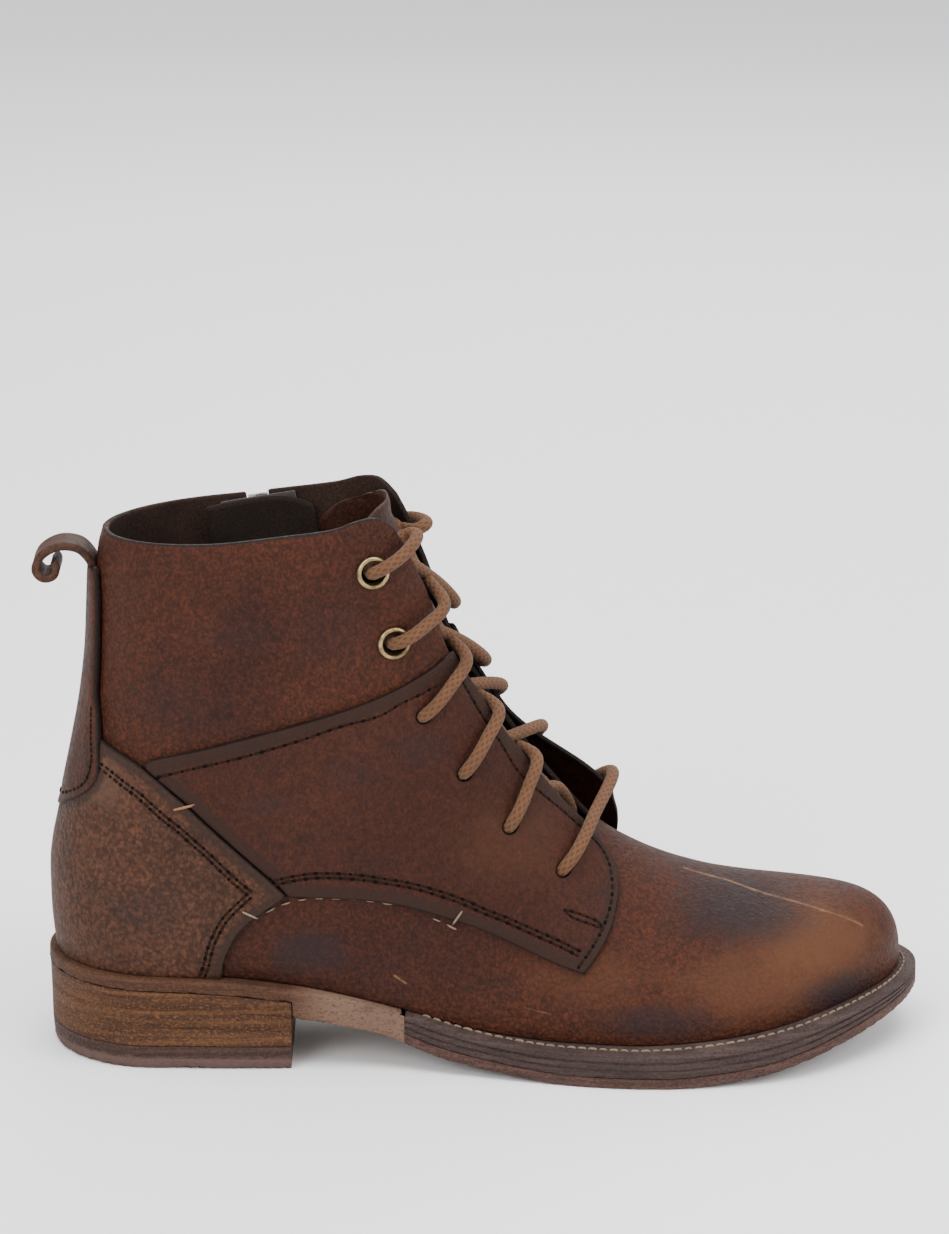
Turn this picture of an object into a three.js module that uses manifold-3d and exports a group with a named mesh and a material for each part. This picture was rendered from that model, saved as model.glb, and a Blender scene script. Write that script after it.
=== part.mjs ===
// Lace-up ankle boot, right foot. Millimetres, +Z up, toe towards +X, inner side of the foot towards +Y.

import * as THREE from 'three';
import { mergeVertices } from 'three/addons/utils/BufferGeometryUtils.js';
import Module from 'manifold-3d';

const wasm = await Module();
wasm.setup();

// Driving dimensions

const soleLength = 275;
const ballWidth = 97;
const heelSeatHeight = 31;
const forepartThickness = 11.2;
const treadThickness = 3.5;
const toeSpring = 14;
const toeEdgeThickness = 6.5;
const breastHeight = 17;
const heelLength = 77.3;
const heelRoundLength = 33;
const seatBandThickness = 4.3;
const topLiftThickness = 7.6;
const heelTaper = 1;
const liftBevel = 1.8;
const weltStart = 112;
const grooveDepth = 0.5;

const toeLedge = 5.4;
const heelCupInset = 4.2;
const shaftHeight = 145;
const upperWall = 1.9;
const bottomTuck = 0.045;
const tuckHeight = 11;

const insoleThickness = 3;
const insoleGap = 1.5;
const quarterThickness = 1.3;
const counterThickness = 1.8;
const stayThickness = 2.4;
const facingInset = 1;
const facingFlare = 9.5;
const facingFlareReach = 44;
const facingFlareRise = 28;
const facingFlareLead = 2;

const tongueThickness = 1.6;
const tongueMargin = 12;
const tongueGap = 1.1;
const tongueDropLead = 6;
const tongueDropLength = 12;
const laceRoom = 1.9;
const laceBulge = 1.9;

const laceDiameter = 4;
const laceHoleDiameter = 5;
const holeCutterLength = 30;
const eyeletOuterDiameter = 9;
const eyeletBoreDiameter = 5.2;
const eyeletThickness = 1.1;
const eyeletRoll = 0.5;

const loopWidth = 13;
const loopThickness = 2.6;

const zipSlotWidth = 7;
const zipTeethWidth = 4.6;
const zipTeethDepth = 1.3;
const zipTapeWidth = 24;
const zipTapeThickness = 0.8;
const zipGuardWidth = 34;
const zipGuardThickness = 1;
const zipTapeMargin = 7;
const zipTopMargin = 1;
const sliderLength = 11;
const sliderWidth = 6.2;
const sliderBodyThickness = 1.8;
const bailWidth = 2;
const bailBar = 0.9;
const pullLength = 22;
const pullWidth = 6.4;
const pullThickness = 1.2;
const pullPinDiameter = 1.3;

const fit = 0.3;
const seatGap = 0.4;

// Tables. Columns are shares of the named sizes above.

// Top of the sole under the foot: at is a share of the sole's length, arch of the heel's rise over
// the forepart, spring of the toe's rise over it
const SEAT = [
  { at: 0, arch: 1, spring: 0 },
  { at: 0.084, arch: 0.975, spring: 0 },
  { at: 0.149, arch: 0.949, spring: 0 },
  { at: 0.215, arch: 0.899, spring: 0 },
  { at: 0.28, arch: 0.788, spring: 0 },
  { at: 0.342, arch: 0.621, spring: 0 },
  { at: 0.415, arch: 0.384, spring: 0 },
  { at: 0.462, arch: 0.212, spring: 0 },
  { at: 0.516, arch: 0.076, spring: 0 },
  { at: 0.585, arch: 0.005, spring: 0 },
  { at: 0.673, arch: 0, spring: 0 },
  { at: 0.742, arch: 0, spring: 0.108 },
  { at: 0.8, arch: 0, spring: 0.29 },
  { at: 0.858, arch: 0, spring: 0.516 },
  { at: 0.909, arch: 0, spring: 0.731 },
  { at: 0.953, arch: 0, spring: 0.892 },
  { at: 1, arch: 0, spring: 1 },
];

// Underside from the heel breast to the toe: arch is a share of the breast's height, spring of the
// toe spring. The forepart lies flat on the floor between its two level rows.
const UNDERSIDE = [
  { at: 0.287, arch: 1, spring: 0 },
  { at: 0.324, arch: 0.882, spring: 0 },
  { at: 0.382, arch: 0.694, spring: 0 },
  { at: 0.411, arch: 0.529, spring: 0 },
  { at: 0.444, arch: 0.341, spring: 0 },
  { at: 0.487, arch: 0.194, spring: 0 },
  { at: 0.527, arch: 0.106, spring: 0 },
  { at: 0.571, arch: 0.024, spring: 0 },
  { at: 0.593, arch: 0, spring: 0 },
  { at: 0.713, arch: 0, spring: 0 },
  { at: 0.742, arch: 0, spring: 0.036 },
  { at: 0.8, arch: 0, spring: 0.157 },
  { at: 0.858, arch: 0, spring: 0.357 },
  { at: 0.891, arch: 0, spring: 0.5 },
  { at: 0.92, arch: 0, spring: 0.621 },
  { at: 0.953, arch: 0, spring: 0.786 },
  { at: 1, arch: 0, spring: 1 },
];

// Outline of the sole before its heel and toe are rounded: half width, and sway of the middle
// towards the inner side, both shares of the ball width
const PLAN = [
  { at: 0, sway: 0, half: 0.335 },
  { at: 0.145, sway: -0.005, half: 0.345 },
  { at: 0.218, sway: -0.008, half: 0.347 },
  { at: 0.291, sway: -0.015, half: 0.335 },
  { at: 0.345, sway: -0.023, half: 0.32 },
  { at: 0.4, sway: -0.031, half: 0.325 },
  { at: 0.473, sway: -0.041, half: 0.361 },
  { at: 0.545, sway: -0.043, half: 0.412 },
  { at: 0.618, sway: -0.037, half: 0.462 },
  { at: 0.673, sway: -0.028, half: 0.49 },
  { at: 0.727, sway: -0.016, half: 0.5 },
  { at: 0.782, sway: -0.002, half: 0.493 },
  { at: 0.855, sway: 0.027, half: 0.472 },
  { at: 0.924, sway: 0.078, half: 0.453 },
  { at: 0.967, sway: 0.101, half: 0.437 },
  { at: 1, sway: 0.124, half: 0.423 },
];

// Back seam: up is a share of the shaft's height over the heel seat, lean of the sole's length,
// turn is how far forward the round of the heel reaches, in ball widths
const BACK = [
  { up: 0, lean: 0.0153, turn: 0.32 },
  { up: 0.097, lean: 0.0109, turn: 0.32 },
  { up: 0.179, lean: 0.0102, turn: 0.33 },
  { up: 0.228, lean: 0.0127, turn: 0.335 },
  { up: 0.283, lean: 0.0185, turn: 0.34 },
  { up: 0.366, lean: 0.0284, turn: 0.35 },
  { up: 0.469, lean: 0.04, turn: 0.36 },
  { up: 0.572, lean: 0.0502, turn: 0.37 },
  { up: 0.683, lean: 0.0571, turn: 0.39 },
  { up: 0.772, lean: 0.0596, turn: 0.41 },
  { up: 0.841, lean: 0.0615, turn: 0.42 },
  { up: 0.903, lean: 0.0655, turn: 0.43 },
  { up: 0.935, lean: 0.0702, turn: 0.43 },
  { up: 1.062, lean: 0.08, turn: 0.43 },
];

// Sections of the last. Each runs from its base to the ridge over the foot. base is 0 at the toe
// tip, 1 at the heel corner, and past 1 up the back seam. half and crownHalf are half widths at
// base and ridge in ball widths, crown is the rounded share of the section, sharp its exponent,
// and steps the facets to the next section.
const SECTIONS = [
  { base: 0, ridgeAt: 1 - toeLedge / soleLength, ridgeUp: 0.186, half: 0.376, crownHalf: 0.361, crown: 0.85,
    sharp: 2.4, sway: 0.124, ridgeSway: 0.124, steps: 4 },
  { base: 0.074, ridgeAt: 0.909, ridgeUp: 0.198, half: 0.395, crownHalf: 0.376, crown: 0.85,
    sharp: 2.4, sway: 0.069, ridgeSway: 0.098, steps: 2 },
  { base: 0.172, ridgeAt: 0.815, ridgeUp: 0.239, half: 0.423, crownHalf: 0.381, crown: 0.85,
    sharp: 2.3, sway: 0.008, ridgeSway: 0.067, steps: 2 },
  { base: 0.243, ridgeAt: 0.745, ridgeUp: 0.284, half: 0.435, crownHalf: 0.371, crown: 0.85,
    sharp: 2.2, sway: -0.012, ridgeSway: 0.046, steps: 2 },
  { base: 0.311, ridgeAt: 0.68, ridgeUp: 0.341, half: 0.427, crownHalf: 0.351, crown: 0.85,
    sharp: 2.2, sway: -0.027, ridgeSway: 0.031, steps: 2 },
  { base: 0.39, ridgeAt: 0.629, ridgeUp: 0.405, half: 0.39, crownHalf: 0.32, crown: 0.8,
    sharp: 2.2, sway: -0.039, ridgeSway: 0.015, steps: 2 },
  { base: 0.481, ridgeAt: 0.594, ridgeUp: 0.49, half: 0.342, crownHalf: 0.294, crown: 0.66,
    sharp: 2.3, sway: -0.042, ridgeSway: 0.005, steps: 1 },
  { base: 0.579, ridgeAt: 0.554, ridgeUp: 0.587, half: 0.311, crownHalf: 0.278, crown: 0.5,
    sharp: 2.5, sway: -0.034, ridgeSway: 0, steps: 1 },
  { base: 0.677, ridgeAt: 0.517, ridgeUp: 0.689, half: 0.302, crownHalf: 0.268, crown: 0.4,
    sharp: 2.7, sway: -0.021, ridgeSway: 0, steps: 1 },
  { base: 0.775, ridgeAt: 0.487, ridgeUp: 0.762, half: 0.311, crownHalf: 0.268, crown: 0.31,
    sharp: 2.8, sway: -0.009, ridgeSway: 0, steps: 1 },
  { base: 0.873, ridgeAt: 0.472, ridgeUp: 0.811, half: 0.312, crownHalf: 0.268, crown: 0.24,
    sharp: 2.8, sway: -0.005, ridgeSway: 0, steps: 2 },
  { base: 0.956, ridgeAt: 0.466, ridgeUp: 0.847, half: 0.309, crownHalf: 0.268, crown: 0.21,
    sharp: 2.8, sway: -0.002, ridgeSway: 0, steps: 3 },
  { base: 1, ridgeAt: 0.461, ridgeUp: 0.876, half: 0.309, crownHalf: 0.268, crown: 0.2,
    sharp: 2.8, sway: 0, ridgeSway: 0, steps: 2 },
  { base: 1.166, ridgeAt: 0.453, ridgeUp: 0.925, half: 0.314, crownHalf: 0.273, crown: 0.2,
    sharp: 2.8, sway: 0, ridgeSway: 0, steps: 1 },
  { base: 1.379, ridgeAt: 0.444, ridgeUp: 0.978, half: 0.314, crownHalf: 0.278, crown: 0.22,
    sharp: 2.8, sway: 0, ridgeSway: 0, steps: 1 },
  { base: 1.6, ridgeAt: 0.436, ridgeUp: 1.023, half: 0.314, crownHalf: 0.289, crown: 0.25,
    sharp: 2.8, sway: 0, ridgeSway: 0, steps: 1 },
  { base: 1.821, ridgeAt: 0.429, ridgeUp: 1.065, half: 0.314, crownHalf: 0.294, crown: 0.3,
    sharp: 2.8, sway: 0, ridgeSway: 0, steps: 1 },
  { base: 1.935, ridgeAt: 0.425, ridgeUp: 1.086, half: 0.314, crownHalf: 0.299, crown: 0.34,
    sharp: 2.8, sway: 0, ridgeSway: 0, steps: 1 },
  { base: 2.062, ridgeAt: 0.42, ridgeUp: 1.176, half: 0.314, crownHalf: 0.299, crown: 0.36,
    sharp: 2.8, sway: 0, ridgeSway: 0, steps: 0 },
];

// Lines on the side of the boot: at is a share of the sole's length, up a share of the shaft's
// height over the sole's top at that place
const COLLAR = [
  { at: 0.02, up: 0.938 }, { at: 0.072, up: 0.941 }, { at: 0.12, up: 0.947 },
  { at: 0.175, up: 0.957 }, { at: 0.22, up: 0.969 }, { at: 0.274, up: 0.994 },
  { at: 0.329, up: 1.027 }, { at: 0.357, up: 1.054 }, { at: 0.378, up: 1.068 },
];
const CUFF_EDGE = [
  { at: 0.39, up: 1.062 }, { at: 0.401, up: 1.047 }, { at: 0.413, up: 1.011 },
  { at: 0.424, up: 0.968 }, { at: 0.435, up: 0.925 }, { at: 0.446, up: 0.872 },
  { at: 0.456, up: 0.814 },
];
const FACING_EDGE = [
  { at: 0.461, up: 0.793 }, { at: 0.475, up: 0.75 }, { at: 0.492, up: 0.704 },
  { at: 0.51, up: 0.656 }, { at: 0.532, up: 0.602 }, { at: 0.556, up: 0.546 },
  { at: 0.577, up: 0.498 }, { at: 0.599, up: 0.45 }, { at: 0.618, up: 0.41 },
];
const QUARTER_FRONT = [
  { at: 0.634, up: 0.373 }, { at: 0.647, up: 0.34 }, { at: 0.651, up: 0.3 },
  { at: 0.643, up: 0.238 }, { at: 0.629, up: 0.189 }, { at: 0.612, up: 0.147 },
];
const QUARTER_FOOT = [
  { at: 0.574, up: 0.172 }, { at: 0.517, up: 0.212 }, { at: 0.472, up: 0.229 },
  { at: 0.405, up: 0.231 }, { at: 0.348, up: 0.219 }, { at: 0.277, up: 0.199 },
];
const QUARTER_TOP = [
  { at: 0.1, up: 0.44 }, { at: 0.115, up: 0.464 }, { at: 0.135, up: 0.485 },
  { at: 0.191, up: 0.514 }, { at: 0.235, up: 0.542 }, { at: 0.294, up: 0.588 },
  { at: 0.338, up: 0.63 }, { at: 0.381, up: 0.679 }, { at: 0.424, up: 0.739 },
  { at: 0.452, up: 0.782 },
];
const COUNTER_FRONT = [
  { at: 0.203, up: -0.06 }, { at: 0.205, up: 0.03 }, { at: 0.217, up: 0.088 },
  { at: 0.23, up: 0.122 }, { at: 0.247, up: 0.152 }, { at: 0.277, up: 0.2 },
  { at: 0.257, up: 0.232 }, { at: 0.222, up: 0.284 }, { at: 0.189, up: 0.339 },
  { at: 0.159, up: 0.395 }, { at: 0.117, up: 0.462 }, { at: 0.072, up: 0.503 },
];
const STAY_EDGE = [
  { at: -0.05, up: 0.255 }, { at: 0.012, up: 0.3 }, { at: 0.036, up: 0.346 },
  { at: 0.056, up: 0.381 }, { at: 0.066, up: 0.406 }, { at: 0.071, up: 0.433 },
  { at: 0.071, up: 0.529 }, { at: 0.068, up: 0.6 }, { at: 0.07, up: 0.68 },
  { at: 0.0715, up: 0.79 }, { at: 0.07, up: 0.862 },
];

// Lace holes from the vamp up. The ones in the cuff carry an eyelet.
const LACE_HOLES = [
  { at: 0.587, up: 0.354, eyelet: false },
  { at: 0.527, up: 0.447, eyelet: false },
  { at: 0.476, up: 0.551, eyelet: false },
  { at: 0.431, up: 0.659, eyelet: false },
  { at: 0.399, up: 0.805, eyelet: true },
  { at: 0.376, up: 0.952, eyelet: true },
];

// The tongue runs between these two sections and narrows over the last of them
const tongueFoot = 4.05;
const tongueTop = 17.35;
const tongueRound = 0.9;

// Zip line on the inner side, from its foot to the collar
const ZIP_LINE = [
  { at: 0.307, up: 0.235 }, { at: 0.29, up: 0.43 }, { at: 0.264, up: 0.7 }, { at: 0.24, up: 0.975 },
];

// Side profile of the pull loop's strap, from the stay over the top and into its curl. out is a
// share of the loop's width behind the cuff's back, rise a share of it over the stay's top.
const LOOP_PATH = [
  { out: 0.11, rise: 0 }, { out: 0.385, rise: 0.27 }, { out: 0.84, rise: 0.32 },
  { out: 1.25, rise: 0.1 }, { out: 1.4, rise: -0.25 }, { out: 1.23, rise: -0.46 },
  { out: 0.98, rise: -0.4 }, { out: 0.91, rise: -0.17 },
];

// Layers round the edge of each part of the sole: up is a share of its thickness, cut how far
// the edge lies back, in millimetres of groove or in taper
const MIDSOLE_EDGE = [
  { up: 0, cut: 0 }, { up: 0.26, cut: 0 }, { up: 0.32, cut: 1 }, { up: 0.38, cut: 0 },
  { up: 0.61, cut: 1 }, { up: 0.67, cut: 0 }, { up: 1, cut: 1.2 },
];
const HEEL_EDGE = [
  { up: 0, cut: 0.8 }, { up: 0.3, cut: 0.7 }, { up: 0.33, cut: 1.5 }, { up: 0.36, cut: 0.6 },
  { up: 0.63, cut: 0.5 }, { up: 0.66, cut: 1.3 }, { up: 0.69, cut: 0.4 }, { up: 1, cut: 0.2 },
];
const TREAD_EDGE = [{ up: 0, cut: 1 }, { up: 0.4, cut: 0 }, { up: 1, cut: 0.6 }];
const LIFT_EDGE = [
  { up: 0, cut: 2.4 }, { up: 0.22, cut: 1.4 }, { up: 0.5, cut: 1.1 }, { up: 0.56, cut: 1.7 },
  { up: 0.62, cut: 0.9 }, { up: 1, cut: 0.9 },
];
const PLAIN_EDGE = [{ up: 0, cut: 0 }, { up: 1, cut: 0 }];

// A smooth line through one column of a table, which never swings past its rows

function smooth(rows, from, to) {
  const x = rows.map((row, i) => (from ? row[from] : i));
  const y = rows.map((row) => row[to]);
  const slope = x.slice(1).map((_, i) => (y[i + 1] - y[i]) / (x[i + 1] - x[i]));
  const tangent = x.map((_, i) => {
    if (i === 0) return slope[0];
    if (i === x.length - 1) return slope[i - 1];
    if (slope[i - 1] * slope[i] <= 0) return 0;
    return (2 * slope[i - 1] * slope[i]) / (slope[i - 1] + slope[i]);
  });
  return (value) => {
    let i = 0;
    while (i < x.length - 2 && value > x[i + 1]) i += 1;
    const width = x[i + 1] - x[i];
    const t = THREE.MathUtils.clamp((value - x[i]) / width, 0, 1);
    const bend = (1 - t) * tangent[i] - t * tangent[i + 1];
    return THREE.MathUtils.lerp(y[i], y[i + 1], t * t * (3 - 2 * t)) + width * t * (1 - t) * bend;
  };
}

// Sole heights and outline

const seatArch = smooth(SEAT, 'at', 'arch');
const seatSpring = smooth(SEAT, 'at', 'spring');
const underArch = smooth(UNDERSIDE, 'at', 'arch');
const underSpring = smooth(UNDERSIDE, 'at', 'spring');
const planSway = smooth(PLAN, 'at', 'sway');
const planHalf = smooth(PLAN, 'at', 'half');

function seat(x) {
  const share = x / soleLength;
  const heelRise = heelSeatHeight - forepartThickness;
  const toeRise = toeSpring + toeEdgeThickness - forepartThickness;
  return forepartThickness + heelRise * seatArch(share) + toeRise * seatSpring(share);
}

function underside(x) {
  const share = x / soleLength;
  return breastHeight * underArch(share) + toeSpring * underSpring(share);
}

function solePoint(x, side) {
  const back = THREE.MathUtils.clamp(1 - x / heelRoundLength, 0, 1);
  const toeStart = 0.8 * soleLength;
  const front = THREE.MathUtils.clamp((x - toeStart) / (soleLength - toeStart), 0, 1);
  const round = Math.sqrt(1 - back * back) * Math.sqrt(1 - front * front);
  const share = x / soleLength;
  return new THREE.Vector2(x, (planSway(share) + side * planHalf(share) * round) * ballWidth);
}

// The last: every piece of the upper is taken from this surface

const section = {};
for (const name of Object.keys(SECTIONS[0])) section[name] = smooth(SECTIONS, null, name);
const backLean = smooth(BACK, 'up', 'lean');
const backTurn = smooth(BACK, 'up', 'turn');
const noseAt = soleLength - toeLedge;
const planTurnStart = 0.778;
const capTurnStart = 0.829;
const lastSection = SECTIONS.length - 1;

function roundOff(x, startShare, power) {
  const start = startShare * soleLength;
  const share = THREE.MathUtils.clamp((x - start) / (noseAt - start), 0, 1);
  return (1 - share ** power) ** (1 / power);
}

function sectionLine(s) {
  const base = section.base(s);
  const foot = new THREE.Vector2();
  if (base <= 1) {
    const x = noseAt + (heelCupInset - noseAt) * base;
    foot.set(x, seat(x) + seatGap);
  } else {
    const up = base - 1;
    foot.set(backAt(up), heelSeatHeight + seatGap + up * shaftHeight);
  }
  const x = Math.min(noseAt, section.ridgeAt(s) * soleLength);
  const rise = section.ridgeUp(s) * shaftHeight * roundOff(x, capTurnStart, 3);
  return { foot, ridge: new THREE.Vector2(x, seat(x) + seatGap + rise) };
}

function backAt(up) {
  return heelCupInset + (backLean(up) - BACK[0].lean) * soleLength;
}

function lastPoint(s, share, side) {
  const { foot, ridge } = sectionLine(s);
  const x = THREE.MathUtils.lerp(foot.x, ridge.x, share);
  const z = THREE.MathUtils.lerp(foot.y, ridge.y, share);
  const crown = section.crown(s);
  const over = Math.max(0, (share - 1 + crown) / crown);
  const dome = Math.sqrt(Math.max(0, 1 - over ** section.sharp(s)));
  const half = THREE.MathUtils.lerp(section.half(s), section.crownHalf(s), share) * ballWidth;
  const up = (z - seatGap - heelSeatHeight) / shaftHeight;
  const inward = THREE.MathUtils.clamp((x - backAt(up)) / (backTurn(up) * ballWidth), 0, 1);
  const heel = Math.sqrt(1 - (1 - inward) ** 2);
  const low = Math.max(0, 1 - (z - seatGap - seat(x)) / tuckHeight);
  const tuck = 1 - bottomTuck * low * low;
  const sway = THREE.MathUtils.lerp(section.sway(s), section.ridgeSway(s), share) * ballWidth;
  return new THREE.Vector3(x, sway + side * half * dome * heel * tuck * roundOff(x, planTurnStart, 2), z);
}

// Section and share of a place seen from the side, and the surface there with its outward normal

function sideSpot({ at, up }) {
  const x = at * soleLength;
  return new THREE.Vector2(x, seat(x) + seatGap + up * shaftHeight);
}

function findOnLast(spot) {
  const beyond = (s) => {
    const { foot, ridge } = sectionLine(s);
    return (ridge.x - foot.x) * (spot.y - foot.y) - (ridge.y - foot.y) * (spot.x - foot.x);
  };
  let low = 0.02;
  let high = lastSection;
  for (let i = 0; i < 40; i += 1) {
    const middle = (low + high) / 2;
    if (beyond(middle) > 0) low = middle;
    else high = middle;
  }
  const { foot, ridge } = sectionLine(low);
  const along = ridge.clone().sub(foot);
  return { s: low, share: spot.clone().sub(foot).dot(along) / along.lengthSq() };
}

function lastAt(s, share, side) {
  const step = 0.002;
  const inside = Math.min(share, 1 - step);
  const alongSections = lastPoint(s + step, inside, side).sub(lastPoint(s - step, inside, side));
  const alongShare = lastPoint(s, inside + step, side).sub(lastPoint(s, inside - step, side));
  const normal = alongShare.cross(alongSections).multiplyScalar(-side).normalize();
  return { point: lastPoint(s, share, side), normal };
}

function surfaceAt(spot, side, outward) {
  const { s, share } = findOnLast(spot);
  const { point, normal } = lastAt(s, share, side);
  return { point: point.addScaledVector(normal, outward), normal };
}

// Meshes

function buildGeometry(positions, index) {
  const geometry = new THREE.BufferGeometry();
  geometry.setAttribute('position', new THREE.Float32BufferAttribute(positions, 3));
  geometry.setIndex(index);
  return weld(geometry);
}

function weld(source) {
  const bare = new THREE.BufferGeometry();
  bare.setAttribute('position', source.getAttribute('position'));
  if (source.index) bare.setIndex(source.index);
  const merged = mergeVertices(bare, 1e-3);
  const index = [];
  const old = merged.index.array;
  for (let i = 0; i < old.length; i += 3) {
    const [a, b, c] = [old[i], old[i + 1], old[i + 2]];
    if (a !== b && b !== c && c !== a) index.push(a, b, c);
  }
  merged.setIndex(index);
  if (signedVolume(merged) < 0) merged.setIndex(index.reverse());
  return merged;
}

function signedVolume(geometry) {
  const position = geometry.getAttribute('position');
  const index = geometry.index.array;
  const corner = [new THREE.Vector3(), new THREE.Vector3(), new THREE.Vector3()];
  let volume = 0;
  for (let i = 0; i < index.length; i += 3) {
    corner.forEach((v, k) => v.fromBufferAttribute(position, index[i + k]));
    volume += corner[0].dot(corner[1].cross(corner[2])) / 6;
  }
  return volume;
}

function toSolid(geometry) {
  const closed = weld(geometry);
  const vertProperties = Float32Array.from(closed.getAttribute('position').array);
  const triVerts = Uint32Array.from(closed.index.array);
  return new wasm.Manifold(new wasm.Mesh({ numProp: 3, vertProperties, triVerts }));
}

function fromSolid(solid) {
  const mesh = solid.getMesh();
  return buildGeometry(Array.from(mesh.vertProperties), Array.from(mesh.triVerts));
}

// A closed body through rings of points, with flat ends unless a ring has shrunk to a line
function loft(rings, { capStart = true, capEnd = true } = {}) {
  const size = rings[0].length;
  const positions = rings.flat().flatMap((p) => [p.x, p.y, p.z]);
  const index = [];
  for (let r = 0; r + 1 < rings.length; r += 1) {
    for (let i = 0; i < size; i += 1) {
      const a = r * size + i;
      const b = r * size + ((i + 1) % size);
      index.push(a, b, b + size, a, b + size, a + size);
    }
  }
  const cap = (r, reverse) => {
    const middle = positions.length / 3;
    const centre = rings[r].reduce((sum, p) => sum.add(p), new THREE.Vector3()).divideScalar(size);
    positions.push(centre.x, centre.y, centre.z);
    for (let i = 0; i < size; i += 1) {
      const a = r * size + i;
      const b = r * size + ((i + 1) % size);
      if (reverse) index.push(middle, b, a);
      else index.push(middle, a, b);
    }
  };
  if (capStart) cap(0, true);
  if (capEnd) cap(rings.length - 1, false);
  return buildGeometry(positions, index);
}

// Solids of the upper lie between two depths off the last

function sectionSteps() {
  const list = [];
  SECTIONS.forEach(({ steps }, i) => {
    for (let k = 0; k < steps; k += 1) {
      // The first section closes the toe, so its facets draw together towards the tip
      const part = k / steps;
      list.push(i === 0 ? part * part : i + part);
    }
  });
  list.push(lastSection);
  return list;
}

const wallColumns = 7;
const crownColumns = 5;
const sideColumns = wallColumns + crownColumns;
const columnCount = 2 * sideColumns + 1;

function columnShare(s, column) {
  const wall = 1 - section.crown(s);
  if (column <= wallColumns) return wall * (1 - Math.cos((Math.PI / 2) * (column / wallColumns)));
  const part = (column - wallColumns) / crownColumns;
  return wall + (1 - wall) * Math.sin((Math.PI / 2) * part);
}

function makeLastGrid() {
  const steps = sectionSteps();
  const points = steps.map((s) => {
    const row = [];
    for (let c = 0; c < columnCount; c += 1) {
      const side = c <= sideColumns ? -1 : 1;
      const column = c <= sideColumns ? c : columnCount - 1 - c;
      row.push(lastPoint(s, columnShare(s, column), side));
    }
    return row;
  });
  const open = steps.map((s) => section.base(s) < 1 - 1e-6);
  const normals = gridNormals(points);
  points.forEach((row, r) => {
    if (!open[r] && open[r - 1] === false) return;
    for (const c of [0, columnCount - 1]) normals[r][c].setZ(0).normalize();
  });
  return { steps, points, normals, open };
}

function gridNormals(points) {
  const key = (p) => [p.x, p.y, p.z].map((v) => Math.round(v * 1e3)).join(' ');
  const sums = new Map();
  points.flat().forEach((p) => sums.set(key(p), new THREE.Vector3()));
  for (let r = 0; r + 1 < points.length; r += 1) {
    for (let c = 0; c + 1 < columnCount; c += 1) {
      const [a, b, d, e] = [points[r][c], points[r][c + 1], points[r + 1][c + 1], points[r + 1][c]];
      const face = d.clone().sub(a).cross(e.clone().sub(b));
      for (const p of [a, b, d, e]) sums.get(key(p)).add(face);
    }
  }
  const middle = points[Math.floor(points.length / 2)];
  const outward = Math.sign(sums.get(key(middle[sideColumns])).x) || 1;
  return points.map((row) => row.map((p) => sums.get(key(p)).clone().multiplyScalar(outward).normalize()));
}

const lastGrid = makeLastGrid();

function shell(inner, outer) {
  const { points, normals, open } = lastGrid;
  const depth = (value, p) => (typeof value === 'function' ? value(p) : value);
  const layer = (value) =>
    points.map((row, r) => row.map((p, c) => p.clone().addScaledVector(normals[r][c], depth(value, p))));
  return sheet(layer(outer), layer(inner), { firstRim: false, sideRim: (r) => open[r] || open[r + 1] });
}

// A closed sheet between two nets of points, each a list of rows
function sheet(outer, inner, { firstRim = true, sideRim = () => true } = {}) {
  const across = outer[0].length;
  const count = outer.length * across;
  const last = outer.length - 1;
  const end = across - 1;
  const at = (r, c) => r * across + c;
  const under = (r, c) => count + at(r, c);
  const index = [];
  const quad = (a, b, c, d) => index.push(a, b, c, a, c, d);
  for (let r = 0; r < last; r += 1) {
    for (let c = 0; c < end; c += 1) {
      quad(at(r, c), at(r, c + 1), at(r + 1, c + 1), at(r + 1, c));
      quad(under(r, c), under(r + 1, c), under(r + 1, c + 1), under(r, c + 1));
    }
    if (!sideRim(r)) continue;
    quad(at(r, 0), at(r + 1, 0), under(r + 1, 0), under(r, 0));
    quad(at(r, end), under(r, end), under(r + 1, end), at(r + 1, end));
  }
  for (let c = 0; c < end; c += 1) {
    quad(at(last, c), at(last, c + 1), under(last, c + 1), under(last, c));
    if (firstRim) quad(at(0, c + 1), at(0, c), under(0, c), under(0, c + 1));
  }
  const positions = [...outer.flat(), ...inner.flat()].flatMap((p) => [p.x, p.y, p.z]);
  return toSolid(buildGeometry(positions, index));
}

// Cutters: a side-view outline pushed through the boot, or through one side of it

const throughWidth = 200;
const bothSides = { from: -throughWidth / 2, to: throughWidth / 2 };
const outerSide = { from: -throughWidth / 2, to: 0 };
const innerSide = { from: 0, to: throughWidth / 2 };

function sidePrism(outline, { from, to }) {
  const geometry = new THREE.ExtrudeGeometry(new THREE.Shape(outline), {
    depth: to - from,
    bevelEnabled: false,
    steps: 1,
  });
  geometry.rotateX(Math.PI / 2);
  geometry.translate(0, to, 0);
  return toSolid(geometry);
}

function spots(rows) {
  return rows.map(sideSpot);
}

// Moves an open line sideways, to its left as it runs
function shiftLine(line, distance) {
  return line.map((p, i) => {
    const before = line[Math.max(0, i - 1)];
    const after = line[Math.min(line.length - 1, i + 1)];
    const along = after.clone().sub(before).normalize();
    return new THREE.Vector2(p.x - along.y * distance, p.y + along.x * distance);
  });
}

function corner(x, y) {
  return new THREE.Vector2(x, y);
}

const farAbove = 2 * (heelSeatHeight + shaftHeight);
const farAhead = 1.3 * soleLength;
const farBehind = -0.3 * soleLength;

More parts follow.
